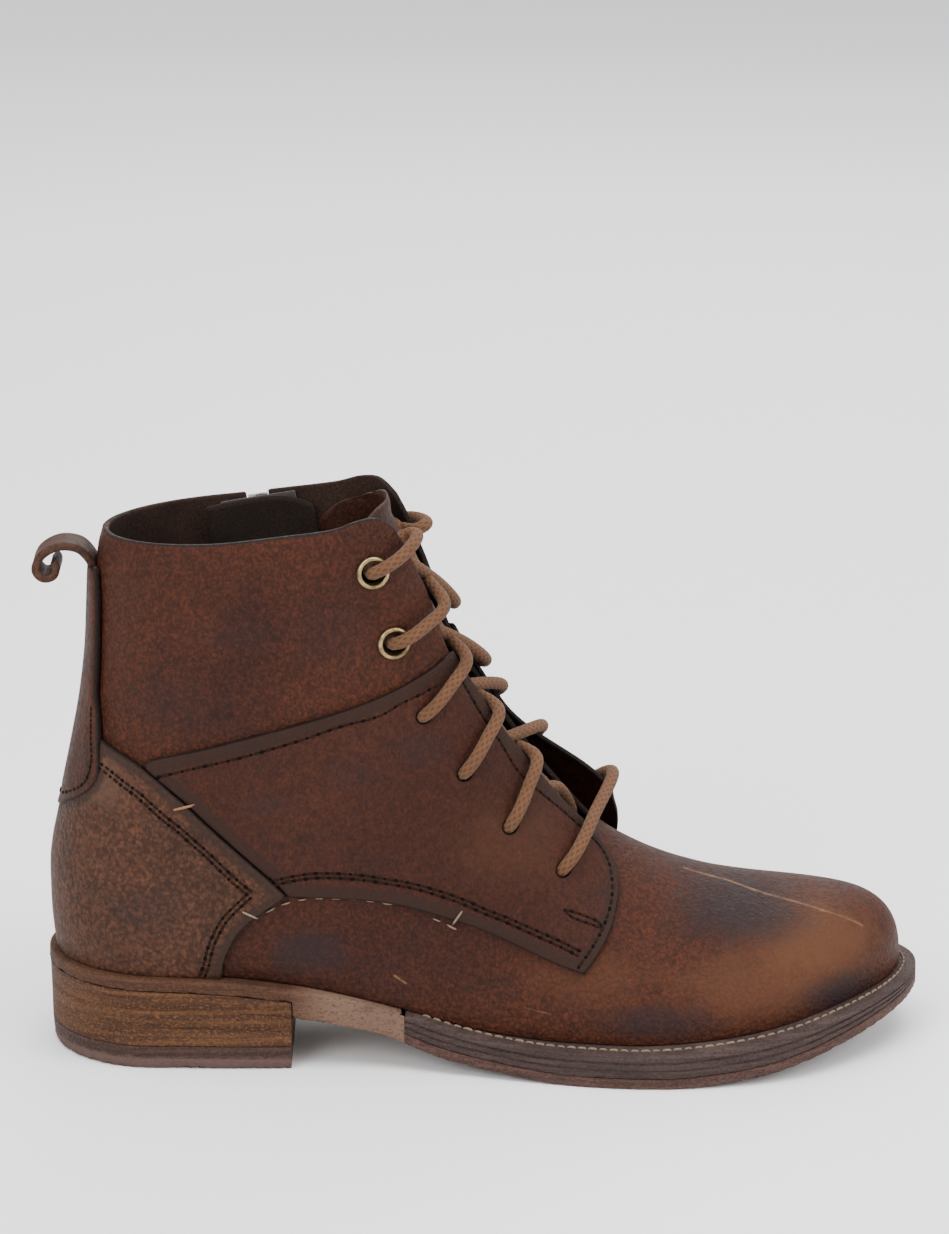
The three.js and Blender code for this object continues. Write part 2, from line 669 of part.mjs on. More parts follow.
// Everything over the collar and in front of the facings
function openingOutline(facing) {
  const front = spots(facing);
  const throat = front[front.length - 1];
  const lip = corner(throat.x + 2, throat.y + upperWall);
  return [
    corner(farBehind, spots(COLLAR)[0].y),
    ...spots(COLLAR),
    ...spots(CUFF_EDGE),
    ...front,
    lip,
    corner(lip.x, farAbove),
    corner(farBehind, farAbove),
  ];
}

function shiftedRows(rows, distance) {
  return shiftLine(spots(rows), distance);
}

// Sole

function stationsAlong(start, end, pitch) {
  const count = Math.max(1, Math.round((end - start) / pitch));
  return Array.from({ length: count }, (_, i) => start + ((end - start) * i) / count);
}

const heelStations = [0, 1, 2, 3, 4].map((k) => heelRoundLength * (k / 5) ** 2);
const toeRoundLength = 0.2 * soleLength;
const toeStations = [5, 4, 3, 2, 1, 0].map((k) => soleLength - toeRoundLength * (k / 6) ** 2);
const stationPitch = 11;
const flatStart = 0.593 * soleLength;
const flatEnd = 0.713 * soleLength;

function forepartStations(start) {
  return [
    ...stationsAlong(start, flatStart, stationPitch),
    flatStart,
    (flatStart + flatEnd) / 2,
    ...stationsAlong(flatEnd, soleLength - toeRoundLength, stationPitch),
    soleLength - toeRoundLength,
    ...toeStations,
  ];
}

// A layer of the sole over the given stations. Its edge follows the outline, set back by its
// inset and by its own layers, and its top and bottom follow the given heights.
function soleLayer({ stations, top, bottom, edge, scale = 1, inset = 0, outline = solePoint }) {
  const sides = [-1, 1].map((side) => stations.map((x) => outline(x, side)));
  const closedStart = sides[0][0].distanceTo(sides[1][0]) < 1e-6;
  const last = stations.length - 1;
  const closedEnd = sides[0][last].distanceTo(sides[1][last]) < 1e-6;
  const setBack = (which, i, distance) => {
    const line = sides[which];
    const other = sides[1 - which];
    const before = i > 0 ? line[i - 1] : closedStart ? other[1] : line[0];
    const after = i < last ? line[i + 1] : closedEnd ? other[last - 1] : line[last];
    const along = after.clone().sub(before).normalize();
    const side = which === 0 ? -1 : 1;
    return new THREE.Vector2(line[i].x + side * along.y * distance, line[i].y - side * along.x * distance);
  };
  const rings = stations.map((_, i) => {
    const wall = (which) =>
      edge.map(({ up, cut }) => {
        const p = setBack(which, i, inset + cut * scale);
        const low = bottom(p.x);
        return new THREE.Vector3(p.x, p.y, low + up * (top(p.x) - low));
      });
    return [...wall(0), ...wall(1).reverse()];
  });
  return loft(rings, { capStart: !closedStart, capEnd: !closedEnd });
}

function makeOutsole() {
  const step = fit;
  const bandBottom = (x) => seat(x) - seatBandThickness;
  const bottom = (x) => (x < heelLength + 2 * step ? bandBottom(x) : underside(x));
  const top = (x) => (x < weltStart + step ? seat(x) : underside(x) + treadThickness);
  const stations = [
    ...heelStations,
    ...stationsAlong(heelRoundLength, heelLength, stationPitch),
    heelLength + step,
    heelLength + 3 * step,
    ...stationsAlong(heelLength + stationPitch, weltStart - step, stationPitch),
    weltStart - step,
    ...forepartStations(weltStart + 2 * step),
  ];
  return soleLayer({ stations, top, bottom, edge: TREAD_EDGE });
}

function makeMidsole() {
  return soleLayer({
    stations: forepartStations(weltStart + 3 * fit),
    top: seat,
    bottom: (x) => underside(x) + treadThickness + fit,
    edge: MIDSOLE_EDGE,
    scale: grooveDepth,
  });
}

const heelBlockStations = [
  ...heelStations,
  ...stationsAlong(heelRoundLength, heelLength, stationPitch),
  heelLength,
];

function makeHeelStack() {
  return soleLayer({
    stations: heelBlockStations,
    top: (x) => seat(x) - seatBandThickness - fit,
    bottom: () => topLiftThickness + fit,
    edge: HEEL_EDGE,
    scale: heelTaper,
  });
}

function makeTopLift() {
  return soleLayer({
    stations: heelBlockStations,
    top: () => topLiftThickness,
    bottom: () => 0,
    edge: LIFT_EDGE,
    scale: liftBevel / 1.8,
  });
}

function featherPoint(x, side) {
  const base = (noseAt - x) / (noseAt - heelCupInset);
  let low = 0;
  let high = lastSection;
  for (let i = 0; i < 40; i += 1) {
    const middle = (low + high) / 2;
    if (section.base(middle) < base) low = middle;
    else high = middle;
  }
  const p = lastPoint(low, 0, side);
  return new THREE.Vector2(x, p.y);
}

function makeInsole() {
  const clear = upperWall + insoleGap;
  const start = heelCupInset;
  const toeReach = noseAt - start;
  const shares = [0, 0.003, 0.012, 0.03, 0.06, 0.1, 0.15, 0.21, 0.28, 0.35, 0.42, 0.49, 0.56];
  const fore = [0.63, 0.7, 0.76, 0.81, 0.86, 0.9, 0.935, 0.962, 0.982, 0.995, 1];
  const stations = [...shares, ...fore].map((share) => start + toeReach * share);
  return soleLayer({
    stations,
    top: (x) => seat(x) + seatGap + insoleThickness,
    bottom: (x) => seat(x) + seatGap,
    edge: PLAIN_EDGE,
    inset: clear,
    outline: (x, side) => {
      const atEnd = x <= start || x >= noseAt;
      const middle = x >= noseAt ? section.sway(0) * ballWidth : 0;
      return atEnd ? new THREE.Vector2(x, middle) : featherPoint(x, side);
    },
  });
}

// Cutters and places for laces

function roundAlong(point, normal, radius, length, sides = 8) {
  const geometry = new THREE.CylinderGeometry(radius, radius, length, sides);
  const turn = new THREE.Quaternion().setFromUnitVectors(new THREE.Vector3(0, 1, 0), normal);
  geometry.applyQuaternion(turn);
  geometry.translate(point.x, point.y, point.z);
  return toSolid(geometry);
}

function holeCutters(side, diameterOf) {
  return LACE_HOLES.map((hole) => {
    const { point, normal } = surfaceAt(sideSpot(hole), side, 0);
    return roundAlong(point, normal, diameterOf(hole) / 2, holeCutterLength);
  });
}

function cutAll(solid, cutters) {
  return cutters.reduce((body, cutter) => body.subtract(cutter), solid);
}

// Zip line in side view, and a band along it. Past its end the line runs straight on.

const zipCurve = new THREE.SplineCurve(spots(ZIP_LINE));
const zipLength = zipCurve.getLength();

function zipPlace(distance) {
  const t = THREE.MathUtils.clamp(distance / zipLength, 0, 1);
  const tangent = zipCurve.getTangentAt(t);
  const spot = zipCurve.getPointAt(t).addScaledVector(tangent, distance - t * zipLength);
  return { spot, across: corner(-tangent.y, tangent.x) };
}

function zipBand(width, from, to, count = 8) {
  const places = Array.from({ length: count + 1 }, (_, i) => zipPlace(from + ((to - from) * i) / count));
  const edge = (side) => places.map(({ spot, across }) => {
    return spot.clone().addScaledVector(across, (side * width) / 2);
  });
  return [...edge(1), ...edge(-1).reverse()];
}

function zipSlot(width) {
  return sidePrism(zipBand(width, zipTapeMargin, zipLength + shaftHeight / 5), innerSide);
}

// Upper and its overlays

function makeUpper() {
  const insideFacing = FACING_EDGE.map(({ at, up }) => ({ at: at - facingInset / soleLength, up }));
  const opening = sidePrism(openingOutline(insideFacing), bothSides);
  const holes = [-1, 1].flatMap((side) =>
    holeCutters(side, ({ eyelet }) => (eyelet ? eyeletBoreDiameter + 2 * eyeletThickness : laceHoleDiameter)),
  );
  return cutAll(shell(-upperWall, 0).subtract(opening).subtract(zipSlot(zipSlotWidth)), holes);
}

function counterOutline(grow) {
  const front = shiftedRows(COUNTER_FRONT, -grow);
  const top = front[front.length - 1];
  return [
    corner(farBehind, -10),
    corner(front[0].x, -10),
    ...front,
    corner(farBehind, top.y),
  ];
}

function stayOutline(grow) {
  const edge = shiftedRows(STAY_EDGE, -grow);
  const top = edge[edge.length - 1];
  return [...edge, corner(farBehind, top.y)];
}

function makeCounter() {
  return shell(fit, fit + counterThickness)
    .intersect(sidePrism(counterOutline(0), bothSides))
    .subtract(sidePrism(stayOutline(fit), bothSides));
}

function makeStay() {
  return shell(fit, fit + stayThickness).intersect(sidePrism(stayOutline(0), bothSides));
}

function flareAt(p) {
  const root = sideSpot(FACING_EDGE[FACING_EDGE.length - 1]);
  const reach = Math.hypot(p.x - root.x, p.z - root.y) / facingFlareReach;
  if (reach >= 1) return 0;
  const lift = THREE.MathUtils.smoothstep(p.z, root.y - facingFlareRise, root.y + facingFlareLead);
  return facingFlare * (1 - reach * reach) ** 2 * lift;
}

function makeQuarter(side) {
  const outline = [
    ...spots(QUARTER_TOP),
    ...spots(FACING_EDGE),
    ...spots(QUARTER_FRONT),
    ...spots(QUARTER_FOOT),
  ];
  const turned = side > 0;
  const inner = turned ? (p) => fit + flareAt(p) : fit;
  const outer = turned ? (p) => fit + quarterThickness + flareAt(p) : fit + quarterThickness;
  const sheet = shell(inner, outer)
    .intersect(sidePrism(outline, side < 0 ? outerSide : innerSide))
    .subtract(sidePrism(counterOutline(fit), bothSides));
  const holes = holeCutters(side, () => laceHoleDiameter);
  const whole = cutAll(sheet, holes);
  return turned ? whole.subtract(zipSlot(zipSlotWidth + 2)) : whole;
}

// The tongue lies under the laces. It starts close under the vamp and drops by the lace's
// thickness once it is in the open throat.
function tongueDepth(x) {
  const throat = FACING_EDGE[FACING_EDGE.length - 1].at * soleLength;
  const drop = THREE.MathUtils.smoothstep(throat + tongueDropLead - x, 0, tongueDropLength);
  return -(upperWall + tongueGap) - drop * (laceDiameter + laceRoom);
}

function makeTongue() {
  const edge = shiftedRows([...CUFF_EDGE, ...FACING_EDGE], -tongueMargin).map(findOnLast).reverse();
  const edgeShare = smooth(edge, 's', 'share');
  const rowCount = 14;
  const half = 4;
  const layers = [[], []];
  for (let r = 0; r < rowCount; r += 1) {
    const s = THREE.MathUtils.lerp(tongueFoot, tongueTop, (r / (rowCount - 1)) ** 1.2);
    const taper = THREE.MathUtils.clamp((s - tongueTop + tongueRound) / tongueRound, 0, 1);
    const start = 1 - (1 - edgeShare(s)) * (1 - 0.4 * taper * taper);
    const rows = [[], []];
    for (let k = -half; k <= half; k += 1) {
      const side = k < 0 ? -1 : 1;
      const share = start + (1 - start) * Math.sin((Math.PI / 2) * (1 - Math.abs(k) / half));
      const { point, normal } = lastAt(s, share, side);
      if (k === 0) normal.setY(0).normalize();
      const depth = tongueDepth(point.x);
      rows[0].push(point.clone().addScaledVector(normal, depth));
      rows[1].push(point.clone().addScaledVector(normal, depth - tongueThickness));
    }
    layers[0].push(rows[0]);
    layers[1].push(rows[1]);
  }
  return sheet(layers[0], layers[1]);
}

// Eyelets and laces

function makeEyelet(side, hole) {
  const bore = eyeletBoreDiameter / 2;
  const rim = eyeletOuterDiameter / 2;
  const crest = fit + eyeletThickness;
  const shank = bore + eyeletThickness - fit;
  const profile = [
    [bore, -upperWall], [shank, -upperWall], [shank, fit], [rim, fit],
    [rim - eyeletRoll, crest], [bore + eyeletRoll, crest], [bore, -upperWall],
  ].map(([x, y]) => new THREE.Vector2(x, y));
  const geometry = new THREE.LatheGeometry(profile, 10);
  const { point, normal } = surfaceAt(sideSpot(hole), side, 0);
  geometry.applyQuaternion(new THREE.Quaternion().setFromUnitVectors(new THREE.Vector3(0, 1, 0), normal));
  geometry.translate(point.x, point.y, point.z);
  return weld(geometry);
}

const laceSection = new THREE.Shape().absarc(0, 0, laceDiameter / 2, 0, 2 * Math.PI);

function laceTube(points, steps) {
  const geometry = new THREE.ExtrudeGeometry(laceSection, {
    steps,
    curveSegments: 3,
    bevelEnabled: false,
    extrudePath: new THREE.CatmullRomCurve3(points),
  });
  return toSolid(geometry);
}

const facingLine = spots([...CUFF_EDGE, ...FACING_EDGE]);

function nearestFacing(spot) {
  return facingLine.reduce((best, p) => (p.distanceTo(spot) < best.distanceTo(spot) ? p : best));
}

// A place on the lace over the leather or under it, at a spot in side view
function laceOver(spot, side, { eyelet }, extra = 0) {
  const leather = eyelet ? eyeletThickness : quarterThickness;
  const turned = side > 0 ? flareAt({ x: spot.x, z: spot.y }) : 0;
  return surfaceAt(spot, side, 2 * fit + leather + laceDiameter / 2 + turned + extra).point;
}

function laceUnder(spot, side) {
  return surfaceAt(spot, side, -(upperWall + 2 * fit + laceDiameter / 2)).point;
}

// The top of the instep in front of a spot in side view
function ridgeAt(spot) {
  const { point, normal } = lastAt(findOnLast(spot).s, 1, 1);
  return { point, normal: normal.setY(0).normalize() };
}

// One strand of a crossing: out of a hole, over the edge of its facing, down across the throat
// and under the edge of the other facing towards the next hole
function laceStrand(side, from, to) {
  const start = sideSpot(from);
  const end = sideSpot(to);
  const over = nearestFacing(start.clone().lerp(end, 0.7));
  const under = nearestFacing(end).clone().lerp(end, 0.25);
  const ahead = laceUnder(under, -side);
  const crest = laceOver(over, side, from, 0.5);
  const { normal } = ridgeAt(over.clone().lerp(under, 0.5));
  const middle = crest.clone().lerp(ahead, 0.5).addScaledVector(normal, laceBulge);
  return [
    laceOver(start, side, from),
    laceOver(start.clone().lerp(over, 0.6), side, from, 0.6),
    crest,
    middle,
    ahead,
  ];
}

// A strand that stays under both facings, from one hole to the next
function lowStrand(side, from, to) {
  const start = nearestFacing(sideSpot(from)).clone().lerp(sideSpot(from), 0.3);
  const end = nearestFacing(sideSpot(to)).clone().lerp(sideSpot(to), 0.3);
  const ridge = ridgeAt(start.clone().lerp(end, 0.5));
  const middle = ridge.point.addScaledVector(ridge.normal, -(upperWall + 2 * fit + laceDiameter / 2));
  return [laceUnder(start, side), middle, laceUnder(end, -side)];
}

function makeCrossing(strand, from, to) {
  const strands = [-1, 1].map((side) => laceTube(strand(side, from, to), 5));
  return fromSolid(strands[0].add(strands[1]));
}

function makeLaceBar(hole) {
  const spot = sideSpot(hole);
  const edge = nearestFacing(spot.clone().add(corner(0, 4)));
  const run = (side) => [
    laceOver(spot, side, hole),
    laceOver(spot.clone().lerp(edge, 0.6), side, hole, 0.6),
    laceOver(edge, side, hole, 1),
  ];
  return fromSolid(laceTube([...run(-1), ...run(1).reverse()], 10));
}

// The end of the lace turns in over the edge of the cuff
function makeLaceEnd(side, hole) {
  const spot = sideSpot(hole);
  const edge = nearestFacing(spot.clone().add(corner(6, 10)));
  const outward = edge.clone().sub(spot).normalize();
  const past = (distance) => edge.clone().addScaledVector(outward, distance);
  const points = [
    laceOver(spot, side, hole, 0.2),
    laceOver(past(-3), side, hole, 0.7),
    surfaceAt(past(2.6), side, 1.8).point,
    surfaceAt(past(3.2), side, -2.6).point,
    laceUnder(past(-0.5), side),
    laceUnder(past(-6), side),
  ];
  return fromSolid(laceTube(points, 9));
}

// Pull loop

function makePullLoop() {
  const top = sideSpot(STAY_EDGE[STAY_EDGE.length - 1]).y;
  const back = backAt((top - heelSeatHeight) / shaftHeight) - fit;
  const foot = top + fit + loopThickness / 2;
  const line = new THREE.SplineCurve(
    LOOP_PATH.map(({ out, rise }) => corner(back - out * loopWidth, foot + rise * loopWidth)),
  ).getPoints(20);
  const half = loopThickness / 2;
  const outline = [...shiftLine(line, half), ...shiftLine(line, -half).reverse()];
  return fromSolid(sidePrism(outline, { from: -loopWidth / 2, to: loopWidth / 2 }));
}

// Zip

// A strip along the zip between two depths, with the given facets along and across it
function zipStrip({ width, from, to, outer, thickness, along, across }) {
  const rows = (depth) =>
    Array.from({ length: along + 1 }, (_, r) => {
      const place = zipPlace(from + ((to - from) * r) / along);
      return Array.from({ length: across + 1 }, (__, c) => {
        const spot = place.spot.clone().addScaledVector(place.across, width * (c / across - 0.5));
        return surfaceAt(spot, 1, depth).point;
      });
    });
  return fromSolid(sheet(rows(outer), rows(outer - thickness)));
}

const tapeDepth = upperWall + 3 * fit;
const teethTop = zipTeethDepth + fit - tapeDepth;
const zipEnd = zipLength - zipTopMargin;

function makeZipTape() {
  const sizes = { width: zipTapeWidth, outer: -tapeDepth, thickness: zipTapeThickness };
  return zipStrip({ ...sizes, from: 0, to: zipEnd, along: 8, across: 3 });
}

function makeZipGuard() {
  const outer = -(tapeDepth + zipTapeThickness + 2 * fit);
  const sizes = { width: zipGuardWidth, outer, thickness: zipGuardThickness };
  return zipStrip({ ...sizes, from: 0, to: zipEnd, along: 8, across: 3 });
}

function makeZipTeeth() {
  const sizes = { width: zipTeethWidth, outer: teethTop, thickness: zipTeethDepth };
  return zipStrip({ ...sizes, from: zipTapeMargin + 2 * fit, to: zipEnd, along: 12, across: 1 });
}

function sliderFrame() {
  const { spot } = zipPlace(zipEnd - sliderLength / 2);
  const below = zipPlace(zipEnd - 1.5 * sliderLength).spot;
  const { point, normal } = surfaceAt(spot, 1, 0);
  const down = surfaceAt(below, 1, 0).point.sub(point).normalize();
  const across = new THREE.Vector3().crossVectors(normal, down).normalize();
  const outward = new THREE.Vector3().crossVectors(down, across).normalize();
  return new THREE.Matrix4().makeBasis(down, across, outward).setPosition(point);
}

// A box from its ranges down the zip, across it and outward from it
function zipBox([u0, u1], [v0, v1], [n0, n1]) {
  const geometry = new THREE.BoxGeometry(u1 - u0, v1 - v0, n1 - n0);
  geometry.translate((u0 + u1) / 2, (v0 + v1) / 2, (n0 + n1) / 2);
  return toSolid(geometry);
}

const sliderFloor = teethTop + fit;
const sliderTop = sliderFloor + sliderBodyThickness;
const pinRadius = pullPinDiameter / 2;
const pinAt = { down: 0, out: sliderTop + 0.4 + pinRadius };
const bailInner = { from: pinAt.down - pinRadius - 0.6, to: pinAt.down + pinRadius + 0.6 };
const bailTop = pinAt.out + pinRadius + 0.4;

function makeZipSlider() {
  const half = bailWidth / 2;
  const reach = [-sliderLength / 2, sliderLength / 2];
  const body = zipBox(reach, [-sliderWidth / 2, sliderWidth / 2], [sliderFloor, sliderTop]);
  const posts = [
    [bailInner.from - bailBar, bailInner.from],
    [bailInner.to, bailInner.to + bailBar],
  ].map((range) => zipBox(range, [-half, half], [sliderTop - 0.2, bailTop + bailBar]));
  const span = [bailInner.from - bailBar, bailInner.to + bailBar];
  const bridge = zipBox(span, [-half, half], [bailTop, bailTop + bailBar]);
  const geometry = fromSolid(body.add(posts[0]).add(posts[1]).add(bridge));
  return geometry.applyMatrix4(sliderFrame());
}

function makeZipPull() {
  const gap = bailWidth / 2 + 0.4;
  const legEnd = bailInner.to + bailBar + 1.6;
  const low = pinAt.out - pullThickness / 2;
  const high = pinAt.out + pullThickness / 2;
  const legs = [-1, 1].map((side) => {
    const range = side < 0 ? [-pullWidth / 2, -gap] : [gap, pullWidth / 2];
    return zipBox([pinAt.down - pinRadius, legEnd + 0.5], range, [low, high]);
  });
  const tab = zipBox([legEnd, pinAt.down + pullLength], [-pullWidth / 2, pullWidth / 2], [low, high]);
  const pin = new THREE.CylinderGeometry(pinRadius, pinRadius, 2 * gap + 0.4, 12);
  pin.translate(pinAt.down, 0, pinAt.out);
  const geometry = fromSolid(tab.add(legs[0]).add(legs[1]).add(toSolid(pin)));
  return geometry.applyMatrix4(sliderFrame());
}

// Materials

function paint(color, roughness, metalness = 0) {
  return new THREE.MeshStandardMaterial({ color, roughness, metalness });
}

const brownLeather = paint(0x5a3a2c, 0.6);
const grainLeather = paint(0x5f4a3c, 0.65);
const darkLeather = paint(0x453026, 0.7);
const soleLeather = paint(0x8a6a48, 0.7);
const soleRubber = paint(0x5c4c4a, 0.8);
const insoleBoard = paint(0x3a2a22, 0.9);
const laceCord = paint(0xa87a52, 0.85);
const brass = paint(0x7d6a45, 0.4, 0.9);
const zipMetal = paint(0x8f8f90, 0.35, 0.9);
const tapeCloth = paint(0x2a2320, 0.9);

// The boot

const boot = new THREE.Group();

function place(name, geometry, material) {
  const mesh = new THREE.Mesh(geometry, material);
  mesh.name = name;
  boot.add(mesh);
}

place('outsole', makeOutsole(), soleLeather);
place('midsole', makeMidsole(), soleRubber);
place('heel_stack', makeHeelStack(), soleLeather);
place('heel_top_lift', makeTopLift(), soleRubber);
place('insole', makeInsole(), insoleBoard);
place('upper', fromSolid(makeUpper()), brownLeather);
place('tongue', fromSolid(makeTongue()), darkLeather);
place('heel_counter', fromSolid(makeCounter()), grainLeather);
place('quarter_lateral', fromSolid(makeQuarter(-1)), brownLeather);
place('quarter_medial', fromSolid(makeQuarter(1)), brownLeather);
place('back_stay', fromSolid(makeStay()), darkLeather);
place('pull_loop', makePullLoop(), darkLeather);

LACE_HOLES.filter(({ eyelet }) => eyelet).forEach((hole, i) => {
  place(`eyelet_lateral_${i + 1}`, makeEyelet(-1, hole), brass);
  place(`eyelet_medial_${i + 1}`, makeEyelet(1, hole), brass);
});
place('lace_bar', makeLaceBar(LACE_HOLES[0]), laceCord);
for (let i = 0; i + 1 < LACE_HOLES.length; i += 1) {
  const strand = i === 0 ? lowStrand : laceStrand;
  place(`lace_crossing_${i + 1}`, makeCrossing(strand, LACE_HOLES[i], LACE_HOLES[i + 1]), laceCord);
}
const topHole = LACE_HOLES[LACE_HOLES.length - 1];
place('lace_end_lateral', makeLaceEnd(-1, topHole), laceCord);
place('lace_end_medial', makeLaceEnd(1, topHole), laceCord);
place('zip_tape', makeZipTape(), tapeCloth);
place('zip_guard', makeZipGuard(), darkLeather);
place('zip_teeth', makeZipTeeth(), zipMetal);
place('zip_slider', makeZipSlider(), zipMetal);
place('zip_pull', makeZipPull(), zipMetal);

// The origin is the middle of the boot's bounding box, on the floor
const box = new THREE.Box3().setFromObject(boot);
boot.position.set(-(box.min.x + box.max.x) / 2, -(box.min.y + box.max.y) / 2, -box.min.z);

export default boot;
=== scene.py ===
"""Lace-up ankle boot, right foot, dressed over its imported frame."""

import math

import bmesh
import bpy
import numpy as np
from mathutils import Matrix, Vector
from mathutils.kdtree import KDTree
from mathutils.geometry import delaunay_2d_cdt


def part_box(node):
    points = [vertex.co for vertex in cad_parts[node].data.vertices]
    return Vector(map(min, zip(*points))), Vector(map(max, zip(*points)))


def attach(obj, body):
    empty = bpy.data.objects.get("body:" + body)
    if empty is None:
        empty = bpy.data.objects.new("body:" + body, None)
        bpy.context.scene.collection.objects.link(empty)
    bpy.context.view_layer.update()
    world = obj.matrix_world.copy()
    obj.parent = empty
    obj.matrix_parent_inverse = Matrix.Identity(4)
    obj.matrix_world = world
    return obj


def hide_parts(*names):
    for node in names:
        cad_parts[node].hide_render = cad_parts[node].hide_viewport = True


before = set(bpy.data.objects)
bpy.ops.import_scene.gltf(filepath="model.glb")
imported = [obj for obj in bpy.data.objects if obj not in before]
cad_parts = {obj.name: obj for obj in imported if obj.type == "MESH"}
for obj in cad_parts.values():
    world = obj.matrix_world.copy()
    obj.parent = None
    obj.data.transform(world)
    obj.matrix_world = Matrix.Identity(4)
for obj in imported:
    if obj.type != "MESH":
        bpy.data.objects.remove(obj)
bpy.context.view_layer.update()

# Sole: a leather outsole, a welt, a stacked heel and a rubber lift, which all follow one seat
# line. Numbers are millimetres in the boot's own frame, with x from the heel's back and y from
# the middle of the heel, and the tables give shares of the sole's length and the ball's width.

SOLE_LENGTH = 275
BALL_WIDTH = 97
HEEL_SEAT = 31
FOREPART = 11.2
TOE_SPRING = 14
TOE_EDGE = 6.5
BREAST_HEIGHT = 17
FIT = 0.3

# Columns: at, arch, spring
SEAT = np.array([
    (0, 1, 0), (0.084, 0.975, 0), (0.149, 0.949, 0), (0.215, 0.899, 0), (0.28, 0.788, 0),
    (0.342, 0.621, 0), (0.415, 0.384, 0), (0.462, 0.212, 0), (0.516, 0.076, 0), (0.585, 0.005, 0),
    (0.673, 0, 0), (0.742, 0, 0.108), (0.8, 0, 0.29), (0.858, 0, 0.516), (0.909, 0, 0.731),
    (0.953, 0, 0.892), (1, 0, 1),
])


def smooth(xs, ys):
    slope = np.diff(ys) / np.diff(xs)
    together = slope[:-1] * slope[1:] > 0
    total = np.where(together, slope[:-1] + slope[1:], 1)
    inner = np.where(together, 2 * slope[:-1] * slope[1:] / total, 0)
    tangent = np.concatenate(([slope[0]], inner, [slope[-1]]))

    def line(value):
        i = np.clip(np.searchsorted(xs, value, side="right") - 1, 0, len(xs) - 2)
        width = xs[i + 1] - xs[i]
        t = np.clip((value - xs[i]) / width, 0, 1)
        bend = (1 - t) * tangent[i] - t * tangent[i + 1]
        return ys[i] + (ys[i + 1] - ys[i]) * t * t * (3 - 2 * t) + width * t * (1 - t) * bend

    return line


seat_arch = smooth(SEAT[:, 0], SEAT[:, 1])
seat_spring = smooth(SEAT[:, 0], SEAT[:, 2])


def seat(x):
    share = x / SOLE_LENGTH
    heel_rise = HEEL_SEAT - FOREPART
    toe_rise = TOE_SPRING + TOE_EDGE - FOREPART
    return FOREPART + heel_rise * seat_arch(share) + toe_rise * seat_spring(share)


# The boot's frame begins at the outsole's back and in the middle of the pull loop
outsole_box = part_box("outsole")
loop_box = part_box("pull_loop")
ORIGIN = np.array([outsole_box[0][0], (loop_box[0][1] + loop_box[1][1]) / 2, 0.0])
MM = 0.001


def in_row(points):
    return np.asarray(points, float) * MM + ORIGIN


def add_mesh(name, points, faces, material):
    mesh = bpy.data.meshes.new(name)
    mesh.from_pydata(in_row(points).tolist(), [], [tuple(int(i) for i in f) for f in faces])
    mesh.materials.append(material)
    mesh.shade_smooth()
    obj = bpy.data.objects.new(name, mesh)
    bpy.context.scene.collection.objects.link(obj)
    return obj


def tube_faces(count, size):
    """Faces between rings that follow one another, each a closed ring of the same size."""
    faces = []
    for r in range(count - 1):
        for i in range(size):
            j = (i + 1) % size
            faces.append((r * size + i, r * size + j, (r + 1) * size + j, (r + 1) * size + i))
    return faces


def close_mesh(obj, distance=2e-6):
    """Merges doubles, drops what has collapsed and turns the faces outwards."""
    shape = bmesh.new()
    shape.from_mesh(obj.data)
    bmesh.ops.remove_doubles(shape, verts=shape.verts, dist=distance)
    bmesh.ops.dissolve_degenerate(shape, edges=shape.edges, dist=1e-7)
    bmesh.ops.recalc_face_normals(shape, faces=shape.faces)
    shape.to_mesh(obj.data)
    shape.free()


def sharpen(obj, degrees=40):
    shape = bmesh.new()
    shape.from_mesh(obj.data)
    for edge in shape.edges:
        if len(edge.link_faces) == 2:
            edge.smooth = edge.calc_face_angle(0) < math.radians(degrees)
    shape.to_mesh(obj.data)
    shape.free()


# Sole leather and rubber. The edges are sanded, dyed and scuffed, so their colour runs in streaks
# along the edge, with pale torn fibres and dark smudges.


def shader(name, specular=0.5, sheen=0.0):
    material = bpy.data.materials.new(name)
    material.use_nodes = True
    tree = material.node_tree
    principled = tree.nodes["Principled BSDF"]
    principled.inputs["Specular IOR Level"].default_value = specular
    principled.inputs["Sheen Weight"].default_value = sheen
    principled.inputs["Sheen Roughness"].default_value = 0.5
    return material, tree, principled


def node(tree, kind, inputs=(), **settings):
    made = tree.nodes.new(kind)
    for key, value in settings.items():
        setattr(made, key, value)
    for key, value in dict(inputs).items():
        if isinstance(value, bpy.types.NodeSocket):
            tree.links.new(value, made.inputs[key])
        else:
            made.inputs[key].default_value = value
    return made


def blend(tree, factor, first, second):
    made = node(tree, "ShaderNodeMix", data_type="RGBA")
    for key, value in ((0, factor), (6, first), (7, second)):
        if isinstance(value, bpy.types.NodeSocket):
            tree.links.new(value, made.inputs[key])
        elif key == 0:
            made.inputs[key].default_value = value
        else:
            made.inputs[key].default_value = (*value, 1)
    return made.outputs[2]


def maths(tree, operation, first, second=0.0, clamp=False):
    made = node(tree, "ShaderNodeMath", {0: first, 1: second}, operation=operation, use_clamp=clamp)
    return made.outputs[0]


def ramp(tree, value, low, high, start=0.0, end=1.0):
    made = node(
        tree,
        "ShaderNodeMapRange",
        {"Value": value, "From Min": low, "From Max": high, "To Min": start, "To Max": end},
        interpolation_type="SMOOTHSTEP",
    )
    return made.outputs["Result"]


def noise(tree, place, scale, detail=3.0, rough=0.5, distortion=0.0):
    made = node(
        tree,
        "ShaderNodeTexNoise",
        {
            "Vector": place,
            "Scale": scale,
            "Detail": detail,
            "Roughness": rough,
            "Distortion": distortion,
        },
    )
    return made.outputs["Fac"]


